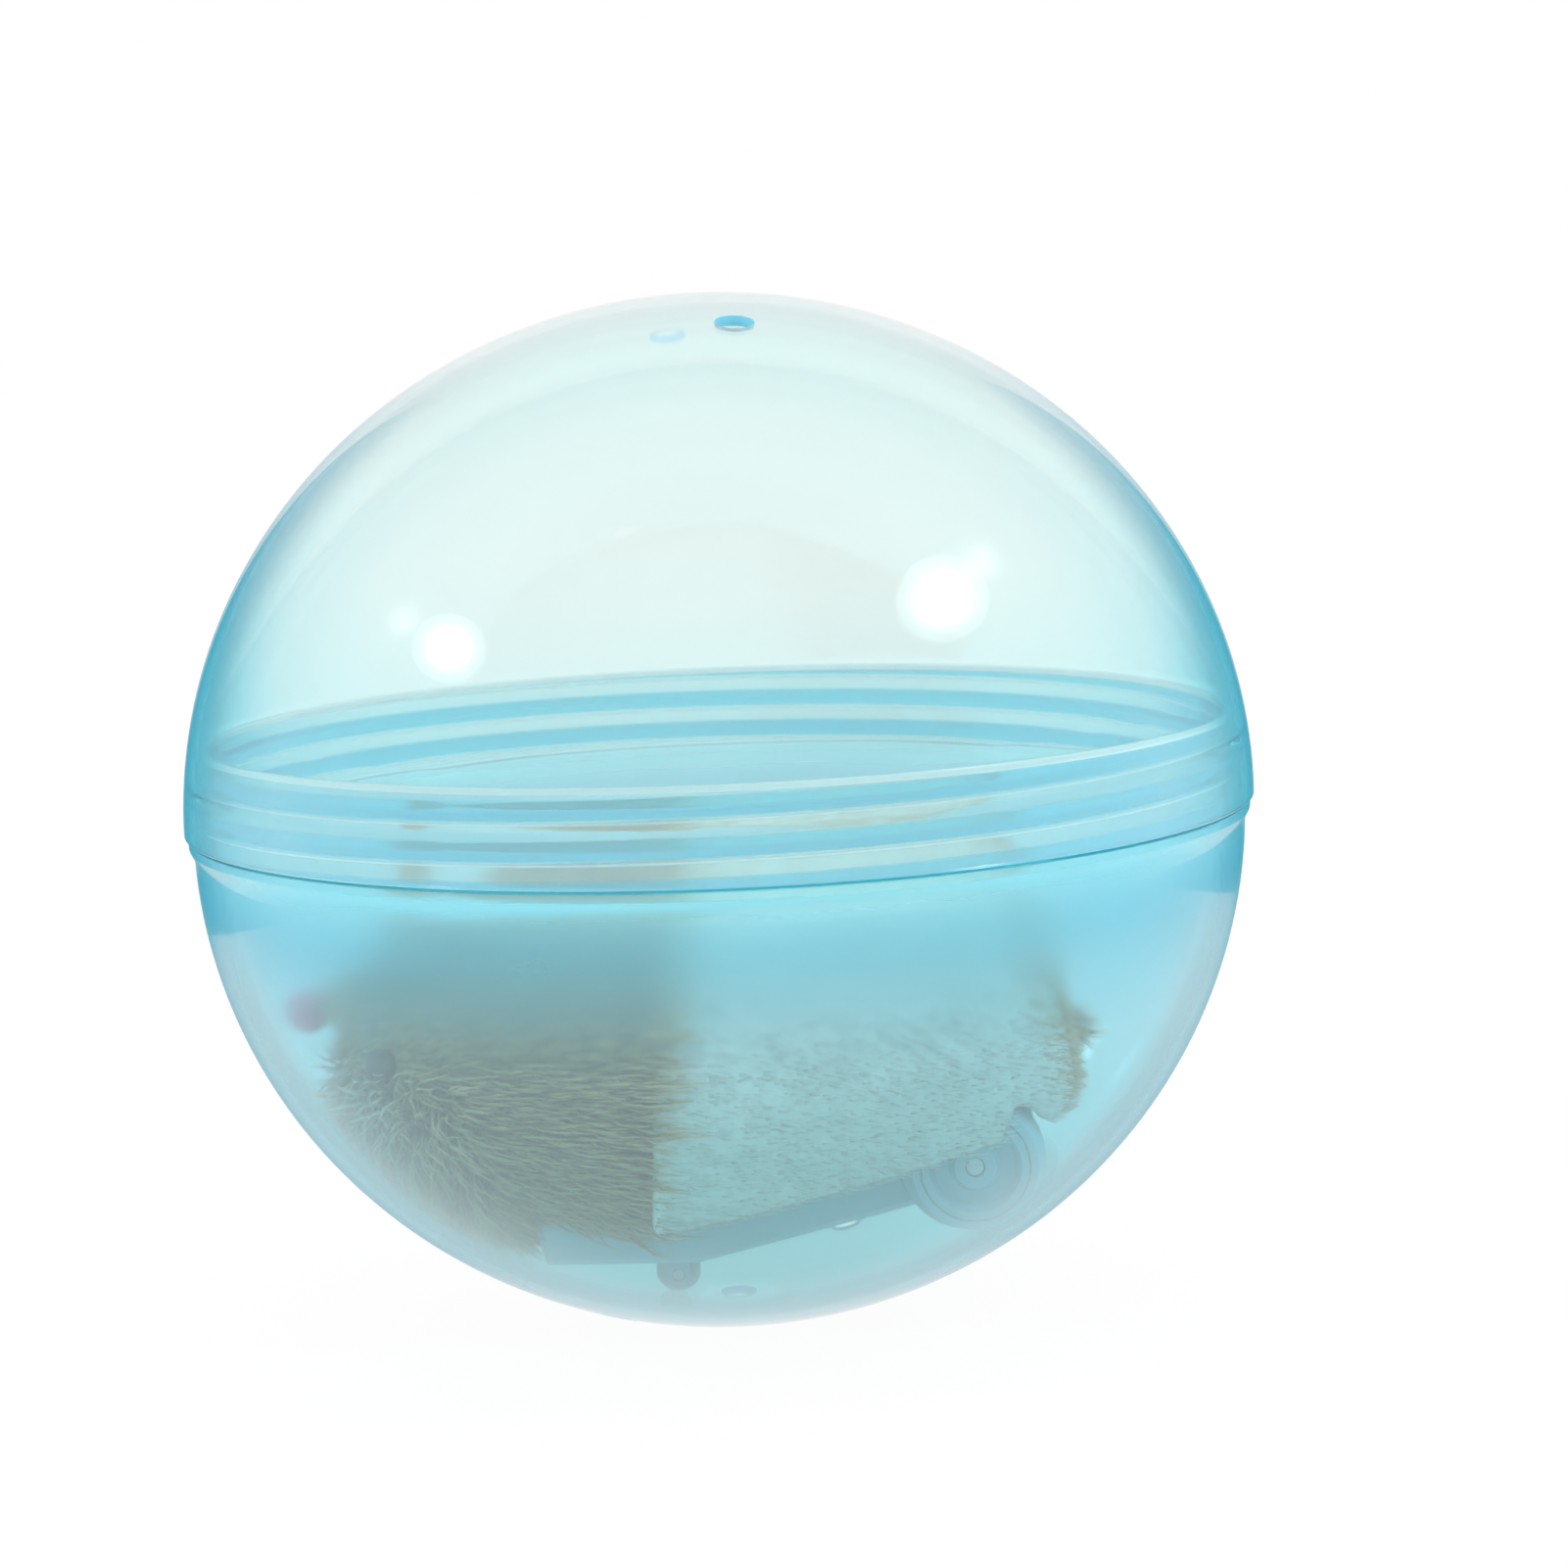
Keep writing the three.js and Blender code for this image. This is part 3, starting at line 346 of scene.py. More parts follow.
# The shells' plastic; stops go by height in millimetres, from the lowest up
LID_LOOK = {
    "wall_pass": (0.94, 0.99, 0.985),
    "tint_stops": ((0, (0.95, 0.99, 1.0, 1)), (12, (0.90, 0.985, 0.99, 1)), (28, (1.0, 1.0, 0.985, 1)),
                   (60, (0.95, 0.985, 0.97, 1))),
    "haze_stops": ((0, 0.03), (60, 0.04)),
    "milk_and_glow_tints": ((0, (0.60, 0.93, 0.98, 1)), (60, (0.88, 0.97, 0.95, 1))),
    "milk_and_glow_stops": ((0, 0.03), (60, 0.025)),
    "through": 0.98,
    "shadow_tint": (0.94, 0.985, 0.985, 1),
}
BOWL_LOOK = {
    "wall_pass": (0.70, 0.93, 0.96),
    "tint_stops": ((-60, (0.60, 0.72, 0.68, 1)), (-42, (0.86, 0.94, 0.93, 1)), (-20, (0.92, 0.95, 0.97, 1)),
                   (-13, (0.78, 0.88, 0.93, 1)), (-8, (0.60, 0.82, 0.90, 1)), (-4, (0.60, 0.82, 0.90, 1)),
                   (-1, (0.82, 0.98, 1.0, 1)), (0, (0.82, 0.98, 1.0, 1)), (11, (0.96, 1.0, 1.0, 1))),
    "haze_stops": ((-60, 0.02), (-30, 0.03), (-20, 0.045), (-14, 0.12), (-8, 0.26), (-1, 0.24), (0, 0.13),
                   (11, 0.06)),
    # The veil's tints and share rise near the belt, partly painted light: lamp light caught in the plastic
    # there
    "milk_and_glow_tints": ((-60, (0.50, 0.66, 0.66, 1)), (-40, (0.46, 0.70, 0.74, 1)), (-14, (0.22, 0.76, 0.88, 1)),
                   (-6, (0.16, 0.72, 0.88, 1)), (-1, (0.34, 0.92, 1.0, 1)), (0, (0.36, 0.92, 1.0, 1)),
                   (11, (0.66, 0.96, 1.0, 1))),
    "milk_and_glow_stops": ((-60, 0.05), (-24, 0.03), (-17, 0.05), (-11, 0.15), (-6, 0.24), (-1, 0.30), (0, 0.20),
                   (4, 0.13), (11, 0.06)),
    "through": 0.96,
    "shadow_tint": (0.78, 0.95, 0.97, 1),
}
PLASTIC_IOR = 1.45
COAT_ROUGHNESS = 0.05
VEIL_ROUGHNESS = 0.4
DYE_HEADROOM = 1.02

# The thread's bands on the neck; the white of the gleam lines is a painted highlight
RIDGE_TINT = (0.28, 0.88, 0.98, 1)
RIDGE_MILK = (0.05, 0.72, 0.96, 1)
GLEAM_PAINTED_WHITE = (0.94, 0.99, 1.0, 1)
RIDGE_SHARE = 0.20
GLEAM_SHARE = 0.6

# What the wall shows at a slant: a deeper tint, partly the longer way through the dye and partly painted glow
# of light carried along the wall, then a painted dark edge, which stands for the dark reflection along the
# ball's outline and goes by height
SLANT_DYE_AND_PAINTED_GLOW = (0.10, 0.80, 0.91, 1)
SLANT_STOPS = ((-60, 1.0), (-30, 2.0), (-20, 0.9), (-14, 1.5), (-8, 2.4), (12, 2.6), (24, 1.6), (40, 0.2))
SLANT_POWER = 3.0
PAINTED_EDGE_SHADE = (0.06, 0.30, 0.38, 1)
EDGE_STOPS = ((-57, 0.1), (-46, 0.8), (-10, 1.0), (0, 0.8), (25, 0.75), (44, 0.5), (54, 0.1))
EDGE_FROM = 0.66
EDGE_SPAN = 0.26


def by_height(f, *stops):
    """A value set by height in the ball: stops of (z in millimetres, value), from the lowest up."""
    low = stops[0][0]
    span = stops[-1][0] - low
    height = (f.axes(f.place())[2] / MM - low) / span
    return f.ramp(height, *(((z - low) / span, value if isinstance(value, tuple) else (value,) * 3 + (1,))
                            for z, value in stops))


def thread_bands(f):
    """Masks on the neck: its thick thread ridges, and a painted highlight, the bright line under each ridge
    and along the rim.
    """
    x, y, z = f.axes(f.place())
    share = x.math("ARCTAN2", y, x) / math.tau
    raised = (z - THREAD_Z) / THREAD_PITCH - share
    off = (raised - round(raised)) * THREAD_PITCH
    on_neck = ((z - FLANGE_TOP_Z) / NECK_SOFT).limited()
    ridge = ((RIDGE_HALF - abs(off)) / RIDGE_SOFT).limited() * on_neck
    line = ((GLEAM_HALF - abs(off + GLEAM_BELOW)) / GLEAM_SOFT).limited() * on_neck
    rim = ((z - NECK_TOP_Z + RIM_HEIGHT) / RIM_SOFT).limited()
    return ridge, (line * GLEAM_LEVEL + rim).limited()


def dyed_bulk(f, wall_pass):
    """The dye inside the wall, which darkens long ways through it."""
    losses = [-math.log(part) / WALL for part in wall_pass]
    density = max(losses) * DYE_HEADROOM
    dye = tuple(1 - loss / density for loss in losses) + (1,)
    return f.node("ShaderNodeVolumeAbsorption", None, {"Color": dye, "Density": density})["Volume"]


def hazy_shell(name, wall_pass, tint_stops, haze_stops, milk_and_glow_tints, milk_and_glow_stops, through, shadow_tint,
               threaded=False):
    """Dyed clear plastic with a tint by height and a milky veil by height; the veil, strongest near the belt,
    is partly painted light there. At a slant the tint deepens, partly painted glow, and a painted dark edge
    runs along the outline.
    """
    f = Finish(name)
    tint = by_height(f, *tint_stops)
    milk_and_glow = by_height(f, *milk_and_glow_tints)
    cloud = f.noise(60.0, 4.0)
    # The veil's share by height, highest near the belt, is partly painted light standing for lamp light
    # caught in the plastic there
    share = by_height(f, *milk_and_glow_stops) * (0.9 + cloud * 0.2)
    slant = f.node("ShaderNodeLayerWeight", None, {"Blend": 0.5})["Facing"]
    # Deeper tint at a slant: partly the longer way through the dye, partly painted glow
    tint = f.blend((slant ** SLANT_POWER * by_height(f, *SLANT_STOPS)).limited(), tint, SLANT_DYE_AND_PAINTED_GLOW)
    if threaded:
        ridge, painted_gleam = thread_bands(f)
        tint = f.blend(ridge, tint, RIDGE_TINT)
        # Painted highlight: white lines under the thread ridges and along the rim
        milk_and_glow = f.blend(painted_gleam, f.blend(ridge, milk_and_glow, RIDGE_MILK), GLEAM_PAINTED_WHITE)
        share = share + ridge * RIDGE_SHARE + painted_gleam * GLEAM_SHARE
    glass = f.principled(
        Base_Color=tint,
        Roughness=by_height(f, *haze_stops) * (0.85 + cloud * 0.3),
        IOR=PLASTIC_IOR,
        Transmission_Weight=through,
        Coat_Weight=1.0,
        Coat_Roughness=COAT_ROUGHNESS,
    )
    veil_and_glow = f.principled(
        Base_Color=milk_and_glow,
        Roughness=VEIL_ROUGHNESS,
        Coat_Weight=1.0,
        Coat_Roughness=COAT_ROUGHNESS,
    )
    body = f.mix(share, glass, veil_and_glow)
    # Painted dark edge: a dark matt colour standing for the dark reflection along the outline
    painted_limb = f.principled(Base_Color=PAINTED_EDGE_SHADE, Roughness=0.35, Specular_IOR_Level=0.1)
    edge = ((slant - EDGE_FROM) / EDGE_SPAN).limited() * by_height(f, *EDGE_STOPS)
    open_way = f.node("ShaderNodeBsdfTransparent", None, {"Color": shadow_tint})["BSDF"]
    shadow = f.node("ShaderNodeLightPath")["Is Shadow Ray"]
    skin = f.mix(shadow, f.mix(edge, body, painted_limb), open_way)
    f.node("ShaderNodeOutputMaterial", None, {"Surface": skin, "Volume": dyed_bulk(f, wall_pass)})
    return f.material


def frosted_edge(name, colour):
    """The cut edge of the same plastic, matt, in a pale colour that is painted light: it stands for light
    carried inside the wall.
    """
    f = Finish(name)
    cloud = f.noise(300.0, 3.0)
    return f.surface(f.principled(
        Base_Color=f.blend(cloud * 0.3, colour, toned(colour, 0.85)),
        Roughness=0.5,
    ))


def moulded_plastic(name, colour, roughness):
    f = Finish(name)
    speck = f.noise(900.0, 2.0)
    cloud = f.noise(45.0, 3.0)
    mottled = f.blend(cloud * 0.35, colour, toned(colour, 0.82))
    return f.surface(f.principled(
        Base_Color=mottled,
        Roughness=roughness + (cloud - 0.5) * 0.15,
        Normal=f.bump(speck, strength=0.04, distance=0.4 * MM),
    ))


def plated_metal(name, colour, roughness):
    f = Finish(name)
    cloud = f.noise(120.0, 4.0)
    brush = f.noise(1400.0, 1.0)
    return f.surface(f.principled(
        Base_Color=f.blend(cloud * 0.4, colour, toned(colour, 0.7)),
        Metallic=1.0,
        Roughness=roughness + (cloud - 0.5) * 0.2,
        Normal=f.bump(brush, strength=0.05, distance=0.2 * MM),
    ))


def tyre_rubber(name, colour):
    f = Finish(name)
    dust = f.noise(160.0, 4.0)
    grain = f.noise(1100.0, 2.0)
    return f.surface(f.principled(
        Base_Color=f.blend(dust * 0.5, colour, toned(colour, 1.35)),
        Roughness=0.75 + dust * 0.2,
        Normal=f.bump(grain, strength=0.12, distance=0.3 * MM),
    ))


def polished_bead(name, colour, roughness):
    f = Finish(name)
    cloud = f.noise(140.0, 3.0)
    return f.surface(f.principled(
        Base_Color=f.blend(cloud * 0.3, colour, toned(colour, 0.8)),
        Roughness=roughness + (cloud - 0.5) * 0.08,
        Coat_Weight=0.6,
        Coat_Roughness=0.08,
    ))


def toy_axes(f):
    """Place along and up the hamster, in metres, from the piece's own coordinates."""
    across, _, up = f.axes(f.place())
    lean = math.radians(TOY_TILT)
    return across * math.cos(lean) + up * math.sin(lean), up * math.cos(lean) - across * math.sin(lean)


def fur_finish(name, coat, patch, mask, depth):
    """Pile that pales from root to tip, the darker roots painted shade deep in the pile; depth is how far
    strands differ, and mask gives the patch's share.
    """
    f = Finish(name)
    along = f.attribute("along")
    tone = f.attribute("tone")
    share = mask(f).limited()
    colour = f.blend(share, f.blend(along, *coat), f.blend(along, *patch))
    return f.surface(f.principled(
        Base_Color=f.blend(tone * depth, colour, toned(coat[0], 0.45)),
        Roughness=0.85,
        Specular_IOR_Level=0.25,
        Sheen_Weight=0.2,
    ))


def ragged_edge(f):
    """How far a patch's edge strays."""
    return (f.noise(RAGGED_SCALE, 3.0) - 0.5) * RAGGED_DEPTH


def rump_mask(f):
    """The body's tan rump and spine, and the head's tan hairs that lie over the seam."""
    along, up = toy_axes(f)
    across = f.axes(f.place())[0]
    ragged = ragged_edge(f)
    rump = ((along + ragged - RUMP_FROM) / RUMP_SOFT).limited()
    spine = ((up + ragged - SPINE_FROM) / SPINE_SOFT).limited()
    over_seam = ((SEAM_X + SEAM_OVERLAP + ragged - across) / SEAM_SOFT).limited()
    return rump + spine + over_seam


def muzzle_mask(f):
    """The head's pale muzzle and chin."""
    along, _ = toy_axes(f)
    return (MUZZLE_FROM - (along + ragged_edge(f))) / MUZZLE_SOFT


def slight_mask(f):
    """A few pale hairs all over."""
    return f.noise(200.0, 3.0) * 0.3


def backing_cloth(name, colour):
    f = Finish(name)
    weave = f.noise(1500.0, 2.0)
    return f.surface(f.principled(
        Base_Color=f.blend(weave * 0.5, colour, toned(colour, 0.6)),
        Roughness=0.95,
        Normal=f.bump(weave, strength=0.3, distance=0.4 * MM),
    ))


# Shapes

def new_piece(name, mesh_builder, material, smooth_angle=SMOOTH_ANGLE):
    """An object at the origin from a bmesh, shaded smooth up to an angle."""
    mesh = bpy.data.meshes.new(name)
    mesh_builder.to_mesh(mesh)
    mesh_builder.free()
    piece = bpy.data.objects.new(name, mesh)
    bpy.context.scene.collection.objects.link(piece)
    mesh.materials.append(material)
    shade(piece, smooth_angle)
    return piece


def shade(piece, angle):
    """Smooth shading with sharp edges past an angle."""
    piece.data.shade_smooth()
    piece.data.set_sharp_from_angle(angle=math.radians(angle))


def arc(radius, height, base_z, start, stop, steps):
    """Points of an ellipse about the axis; angles run from the rim, 0, to the pole, 90."""
    turns = [math.radians(start + (stop - start) * i / steps) for i in range(steps + 1)]
    return [(radius * math.cos(t), base_z + height * math.sin(t)) for t in turns]


def rounded(points, radius, steps):
    """The same path with each corner given rounded off."""
    path = []
    for before, corner, after in zip(points, points[1:], points[2:]):
        corner_at = Vector(corner)
        entry = corner_at + (Vector(before) - corner_at).normalized() * radius
        leave = corner_at + (Vector(after) - corner_at).normalized() * radius
        for i in range(steps + 1):
            t = i / steps
            path.append(tuple((1 - t) ** 2 * entry + 2 * t * (1 - t) * corner_at + t * t * leave))
    return path


def thread_lift(start_z, span, height):
    """How far a thread stands out at an angle and height; span is in turns, and both ends fade."""
    def lift(angle, z):
        share = (angle / math.tau) % 1.0
        raised = (z - start_z) / THREAD_PITCH - share
        turn = round(raised)
        along = turn + share
        off = abs(raised - turn) * THREAD_PITCH
        if off > THREAD_WIDTH / 2 or not span[0] < along < span[1]:
            return 0.0
        fade = min(1.0, (along - span[0]) / THREAD_RUN_OUT, (span[1] - along) / THREAD_RUN_OUT)
        return height * fade * 0.5 * (1 + math.cos(math.tau * off / THREAD_WIDTH))
    return lift


def lathe(path, lift=None, lifted=()):
    """A closed wall turned about Z; path runs from axis to axis, lifted names the rows a thread raises."""
    bm = bmesh.new()
    rows = []
    for number, (radius, z) in enumerate(path):
        if radius == 0:
            rows.append([bm.verts.new((0, 0, z))])
            continue
        row = []
        for i in range(SHELL_SEGMENTS):
            angle = math.tau * i / SHELL_SEGMENTS
            out = radius + (lift(angle, z) if number in lifted else 0.0)
            row.append(bm.verts.new((out * math.cos(angle), out * math.sin(angle), z)))
        rows.append(row)
    for lower, upper in zip(rows, rows[1:]):
        for i in range(SHELL_SEGMENTS):
            j = (i + 1) % SHELL_SEGMENTS
            corners = [row[k % len(row)] for row, k in ((lower, i), (lower, j), (upper, j), (upper, i))]
            bm.faces.new(list(dict.fromkeys(corners)))
    bmesh.ops.recalc_face_normals(bm, faces=bm.faces)
    return bm


def drill(piece, vents, side):
    """Round vents through a shell, each along a radius; side is 1 for the lid and -1 for the bowl."""
    for polar, turn in vents:
        bm = bmesh.new()
        bmesh.ops.create_cone(bm, cap_ends=True, segments=VENT_SEGMENTS, radius1=VENT_RADIUS,
                              radius2=VENT_RADIUS, depth=DRILL_LENGTH)
        lean = Matrix.Rotation(math.radians(side * polar), 4, "X")
        spin = Matrix.Rotation(math.radians(turn), 4, "Z") @ lean
        bmesh.ops.transform(bm, matrix=spin @ Matrix.Translation((0, 0, side * BALL_RADIUS)), verts=bm.verts)
        tool_mesh = bpy.data.meshes.new("drill")
        bm.to_mesh(tool_mesh)
        bm.free()
        tool_mesh.materials.append(vent_edge)
        tool = bpy.data.objects.new("drill", tool_mesh)
        bpy.context.scene.collection.objects.link(tool)
        cut = piece.modifiers.new("cut", "BOOLEAN")
        cut.operation = "DIFFERENCE"
        cut.solver = "EXACT"
        cut.material_mode = "TRANSFER"
        cut.object = tool
        depsgraph = bpy.context.evaluated_depsgraph_get()
        cut_mesh = bpy.data.meshes.new_from_object(piece.evaluated_get(depsgraph))
        piece.modifiers.remove(cut)
        piece.data = cut_mesh
        bpy.data.objects.remove(tool)


def build_lid(material):
    """The dome with its skirt over the neck."""
    height = BALL_RADIUS - LID_EDGE_Z
    outer = arc(LID_RADIUS, height, LID_EDGE_Z, 0, 90, ARC_STEPS)
    dome = arc(LID_RADIUS - WALL, height - WALL, LID_EDGE_Z, 90, SKIRT_TURN, ARC_STEPS)
    skirt = arc(LID_RADIUS - WALL, height - WALL, LID_EDGE_Z, SKIRT_TURN, 0, SKIRT_STEPS)
    inner = dome + skirt[1:]
    edge = rounded([inner[-2], inner[-1], outer[0], outer[1]], EDGE_ROUND, EDGE_STEPS)
    path = inner[:-1] + edge + outer[1:]
    path[0] = (0.0, path[0][1])
    path[-1] = (0.0, path[-1][1])
    lift = thread_lift(THREAD_Z + THREAD_PITCH / 2, LID_THREAD_SPAN, -LID_THREAD_HEIGHT)
    piece = new_piece("lid_skin", lathe(path, lift, range(len(dome), len(inner) - 1)), material)
    drill(piece, LID_VENTS, 1)
    shade(piece, SMOOTH_ANGLE)
    return piece


def build_bowl(material):
    """The bowl with its flange, threaded neck and flat foot."""
    depth = BALL_RADIUS + BOWL_EDGE_Z
    foot_turn = math.degrees(math.acos(FOOT_RADIUS / BOWL_RADIUS))
    outer = arc(BOWL_RADIUS, -depth, BOWL_EDGE_Z, foot_turn, 0, ARC_STEPS)
    outer = [(FOOT_RADIUS, -BALL_RADIUS)] + outer[1:]
    inner = arc(BOWL_RADIUS - WALL, -(depth - WALL), BOWL_EDGE_Z, 0, 90, ARC_STEPS)
    flange = rounded([outer[-2], (FLANGE_RADIUS, FLANGE_TOP_Z - FLANGE_HEIGHT), (FLANGE_RADIUS, FLANGE_TOP_Z),
                      (NECK_ROOT, FLANGE_TOP_Z), (NECK_TOP, NECK_TOP_Z)], FLANGE_ROUND, EDGE_STEPS)
    neck_low = FLANGE_TOP_Z + EDGE_ROUND
    neck_rise = NECK_TOP_Z - EDGE_ROUND - FLANGE_TOP_Z - EDGE_ROUND
    neck = [(NECK_ROOT + (NECK_TOP - NECK_ROOT) * i / NECK_STEPS, neck_low + neck_rise * i / NECK_STEPS)
            for i in range(NECK_STEPS + 1)]
    top = rounded([neck[-1], (NECK_TOP, NECK_TOP_Z), (NECK_TOP - NECK_WALL, NECK_TOP_Z),
                   (NECK_ROOT - NECK_WALL - EDGE_ROUND, FLANGE_TOP_Z)], EDGE_ROUND, EDGE_STEPS)
    path = [(0.0, -BALL_RADIUS)] + outer[:-1] + flange
    first = len(path)
    path += neck + top[1:] + inner[:-1] + [(0.0, -BALL_RADIUS + WALL)]
    lift = thread_lift(THREAD_Z, NECK_THREAD_SPAN, NECK_THREAD_HEIGHT)
    piece = new_piece("bowl_skin", lathe(path, lift, range(first, first + len(neck))), material)
    drill(piece, BOWL_VENTS, -1)
    shade(piece, SMOOTH_ANGLE)
    return piece


def stuffed(name, node, material, voxel):
    """A soft skin over a CAD form: remeshed evenly and smoothed."""
    source = frame["nodes"][node]
    bm = bmesh.new()
    bm.from_mesh(source.data)
    bmesh.ops.remove_doubles(bm, verts=bm.verts, dist=MERGE_DISTANCE)
    piece = new_piece(name, bm, material, ALL_SMOOTH)
    remesh = piece.modifiers.new("even", "REMESH")
    remesh.mode = "VOXEL"
    remesh.voxel_size = voxel
    smooth = piece.modifiers.new("soft", "SMOOTH")
    smooth.iterations = SOFT_ROUNDS
    smooth.factor = SOFT_FACTOR
    depsgraph = bpy.context.evaluated_depsgraph_get()
    soft = bpy.data.meshes.new_from_object(piece.evaluated_get(depsgraph))
    piece.modifiers.clear()
    piece.data = soft
    soft.materials.clear()
    soft.materials.append(material)
    shade(piece, ALL_SMOOTH)
    return piece


def mark_outside(skin, own_node):
    """Marks the faces that pile grows on: those with nothing of the hamster close in front of them."""
    others = []
    for node in HAMSTER_SOLIDS:
        if node != own_node:
            solid = bmesh.new()
            solid.from_mesh(frame["nodes"][node].data)
            others.append(BVHTree.FromBMesh(solid))
            solid.free()
    own = bmesh.new()
    own.from_mesh(skin.data)
    others.append(BVHTree.FromBMesh(own))
    own.free()
    marks = skin.data.attributes.new("furry", "BOOLEAN", "FACE")
    for face in skin.data.polygons:
        start = face.center + face.normal * PILE_START
        marks.data[face.index].value = all(
            tree.ray_cast(start, face.normal, PILE_ROOM)[0] is None for tree in others)


def strand_mesh(name, bend, radius):
    """One hair, one unit long along Z, bent towards X; along runs from 0 at its root to 1 at its tip."""
    bm = bmesh.new()
    layer = bm.verts.layers.float.new("along")
    rings = []
    for share in (0.0, STRAND_MIDDLE):
        ring = []
        for i in range(STRAND_SIDES):
            angle = math.tau * i / STRAND_SIDES
            width = radius * (1 - STRAND_TAPER * share)
            place = (bend * share ** 2 + width * math.cos(angle), width * math.sin(angle), share)
            vert = bm.verts.new(place)
            vert[layer] = share
            ring.append(vert)
        rings.append(ring)
    tip = bm.verts.new((bend, 0, STRAND_TIP))
    tip[layer] = 1.0
    for i in range(STRAND_SIDES):
        j = (i + 1) % STRAND_SIDES
        bm.faces.new((rings[0][i], rings[0][j], rings[1][j], rings[1][i]))
        bm.faces.new((rings[1][i], rings[1][j], tip))
    bm.faces.new(reversed(rings[0]))
    mesh = bpy.data.meshes.new(name)
    bm.to_mesh(mesh)
    bm.free()
    return bpy.data.objects.new(name, mesh)


def pile_tree():
    """Grows strands on the marked faces, leaning along the flow, and keeps them inside the ball."""
    tree = bpy.data.node_groups.new("pile", "GeometryNodeTree")
    sockets = {}
    for label, kind in (("Skin", "Geometry"), ("Strand", "Object"), ("Count", "Float"), ("Length", "Float"),
                        ("Flow", "Vector"), ("Lean", "Float"), ("Stray", "Float"), ("Seed", "Int"),
                        ("Finish", "Material")):
        item = tree.interface.new_socket(label, in_out="INPUT", socket_type="NodeSocket" + kind)
        sockets[label] = item.identifier
    tree.interface.new_socket("Pile", in_out="OUTPUT", socket_type="NodeSocketGeometry")
    g = Graph(tree)
    given = g.node("NodeGroupInput")

    def vector(operation, first, second=(0, 0, 0), result="Vector"):
        key = "Scale" if operation == "SCALE" else 1
        return g.node("ShaderNodeVectorMath", {"operation": operation}, {0: first, key: second})[result]

    def random(kind, low, high, seed):
        first, result = {"FLOAT_VECTOR": (0, 0), "FLOAT": (2, 1)}[kind]
        inputs = {first: low, first + 1: high, "Seed": seed}
        return g.node("FunctionNodeRandomValue", {"data_type": kind}, inputs)[result]

    furry = g.node("GeometryNodeInputNamedAttribute", {"data_type": "BOOLEAN"}, {"Name": "furry"})
    spread = g.node("GeometryNodeDistributePointsOnFaces", None, {
        "Mesh": given["Skin"], "Selection": furry["Attribute"],
        "Density": given["Count"], "Seed": given["Seed"]})

    # Where a strand stands: how far in the chin, at the seam and from the nose
    lean_turn = math.radians(TOY_TILT)
    place = g.node("GeometryNodeInputPosition")["Position"]
    forward = vector("DOT_PRODUCT", place, (-math.cos(lean_turn), 0, -math.sin(lean_turn)), "Value")
    down = vector("DOT_PRODUCT", place, (math.sin(lean_turn), 0, -math.cos(lean_turn)), "Value")
    chin = ((forward - CHIN_FROM) / CHIN_RAMP).limited() * ((down - CHIN_BELOW) / CHIN_RAMP).limited()
    ahead = SEAM_X - vector("DOT_PRODUCT", place, (1, 0, 0), "Value")
    seam = (ahead / SEAM_STEP).limited() * ((SEAM_REACH - ahead) / SEAM_RAMP).limited()
    from_nose = vector("DISTANCE", place, NOSE_AT, "Value")
    trim = 1 - ((TRIM_TO - from_nose) / (TRIM_TO - TRIM_FROM)).limited() * TRIM_SHARE

    # Which way it points, and its length
    leaning = vector("SCALE", given["Flow"], given["Lean"] * (1 - chin))
    straying = vector("SCALE", random("FLOAT_VECTOR", (-1, -1, -1), (1, 1, 1), given["Seed"]), given["Stray"])
    heading = vector("ADD", vector("ADD", spread["Normal"], leaning), straying)
    upright = g.node("FunctionNodeAlignRotationToVector", {"axis": "Z"}, {"Vector": heading})["Rotation"]
    turned = g.node("FunctionNodeAlignRotationToVector", {"axis": "X", "pivot_axis": "Z"}, {
        "Rotation": upright, "Vector": given["Flow"]})["Rotation"]
    size = random("FLOAT", *STRAND_SIZES, given["Seed"]) * given["Length"]
    strand = g.node("GeometryNodeObjectInfo", None, {"Object": given["Strand"]})["Geometry"]
    placed = g.node("GeometryNodeInstanceOnPoints", None, {
        "Points": spread["Points"], "Instance": strand, "Rotation": turned,
        "Scale": size * (1 + chin * CHIN_GAIN + seam * SEAM_GAIN) * trim})

    # Each strand's own tone, then the strands made real and held inside the ball
    marked = g.node("GeometryNodeStoreNamedAttribute", {"data_type": "FLOAT", "domain": "INSTANCE"}, {
        "Geometry": placed["Instances"], "Name": "tone", "Value": random("FLOAT", 0.0, 1.0, TONE_SEED)})
    real = g.node("GeometryNodeRealizeInstances", None, {0: marked["Geometry"]})[0]
    where = g.node("GeometryNodeInputPosition")["Position"]
    reach = vector("LENGTH", where, result="Value")
    inward = (RUN_RADIUS / reach).limited()
    kept = g.node("GeometryNodeSetPosition", None, {
        "Geometry": real, "Position": vector("SCALE", where, inward)})["Geometry"]
    done = g.node("GeometryNodeSetMaterial", None, {
        "Geometry": kept, "Material": given["Finish"]})["Geometry"]
    g.node("NodeGroupOutput", None, {0: done})
    return tree, sockets


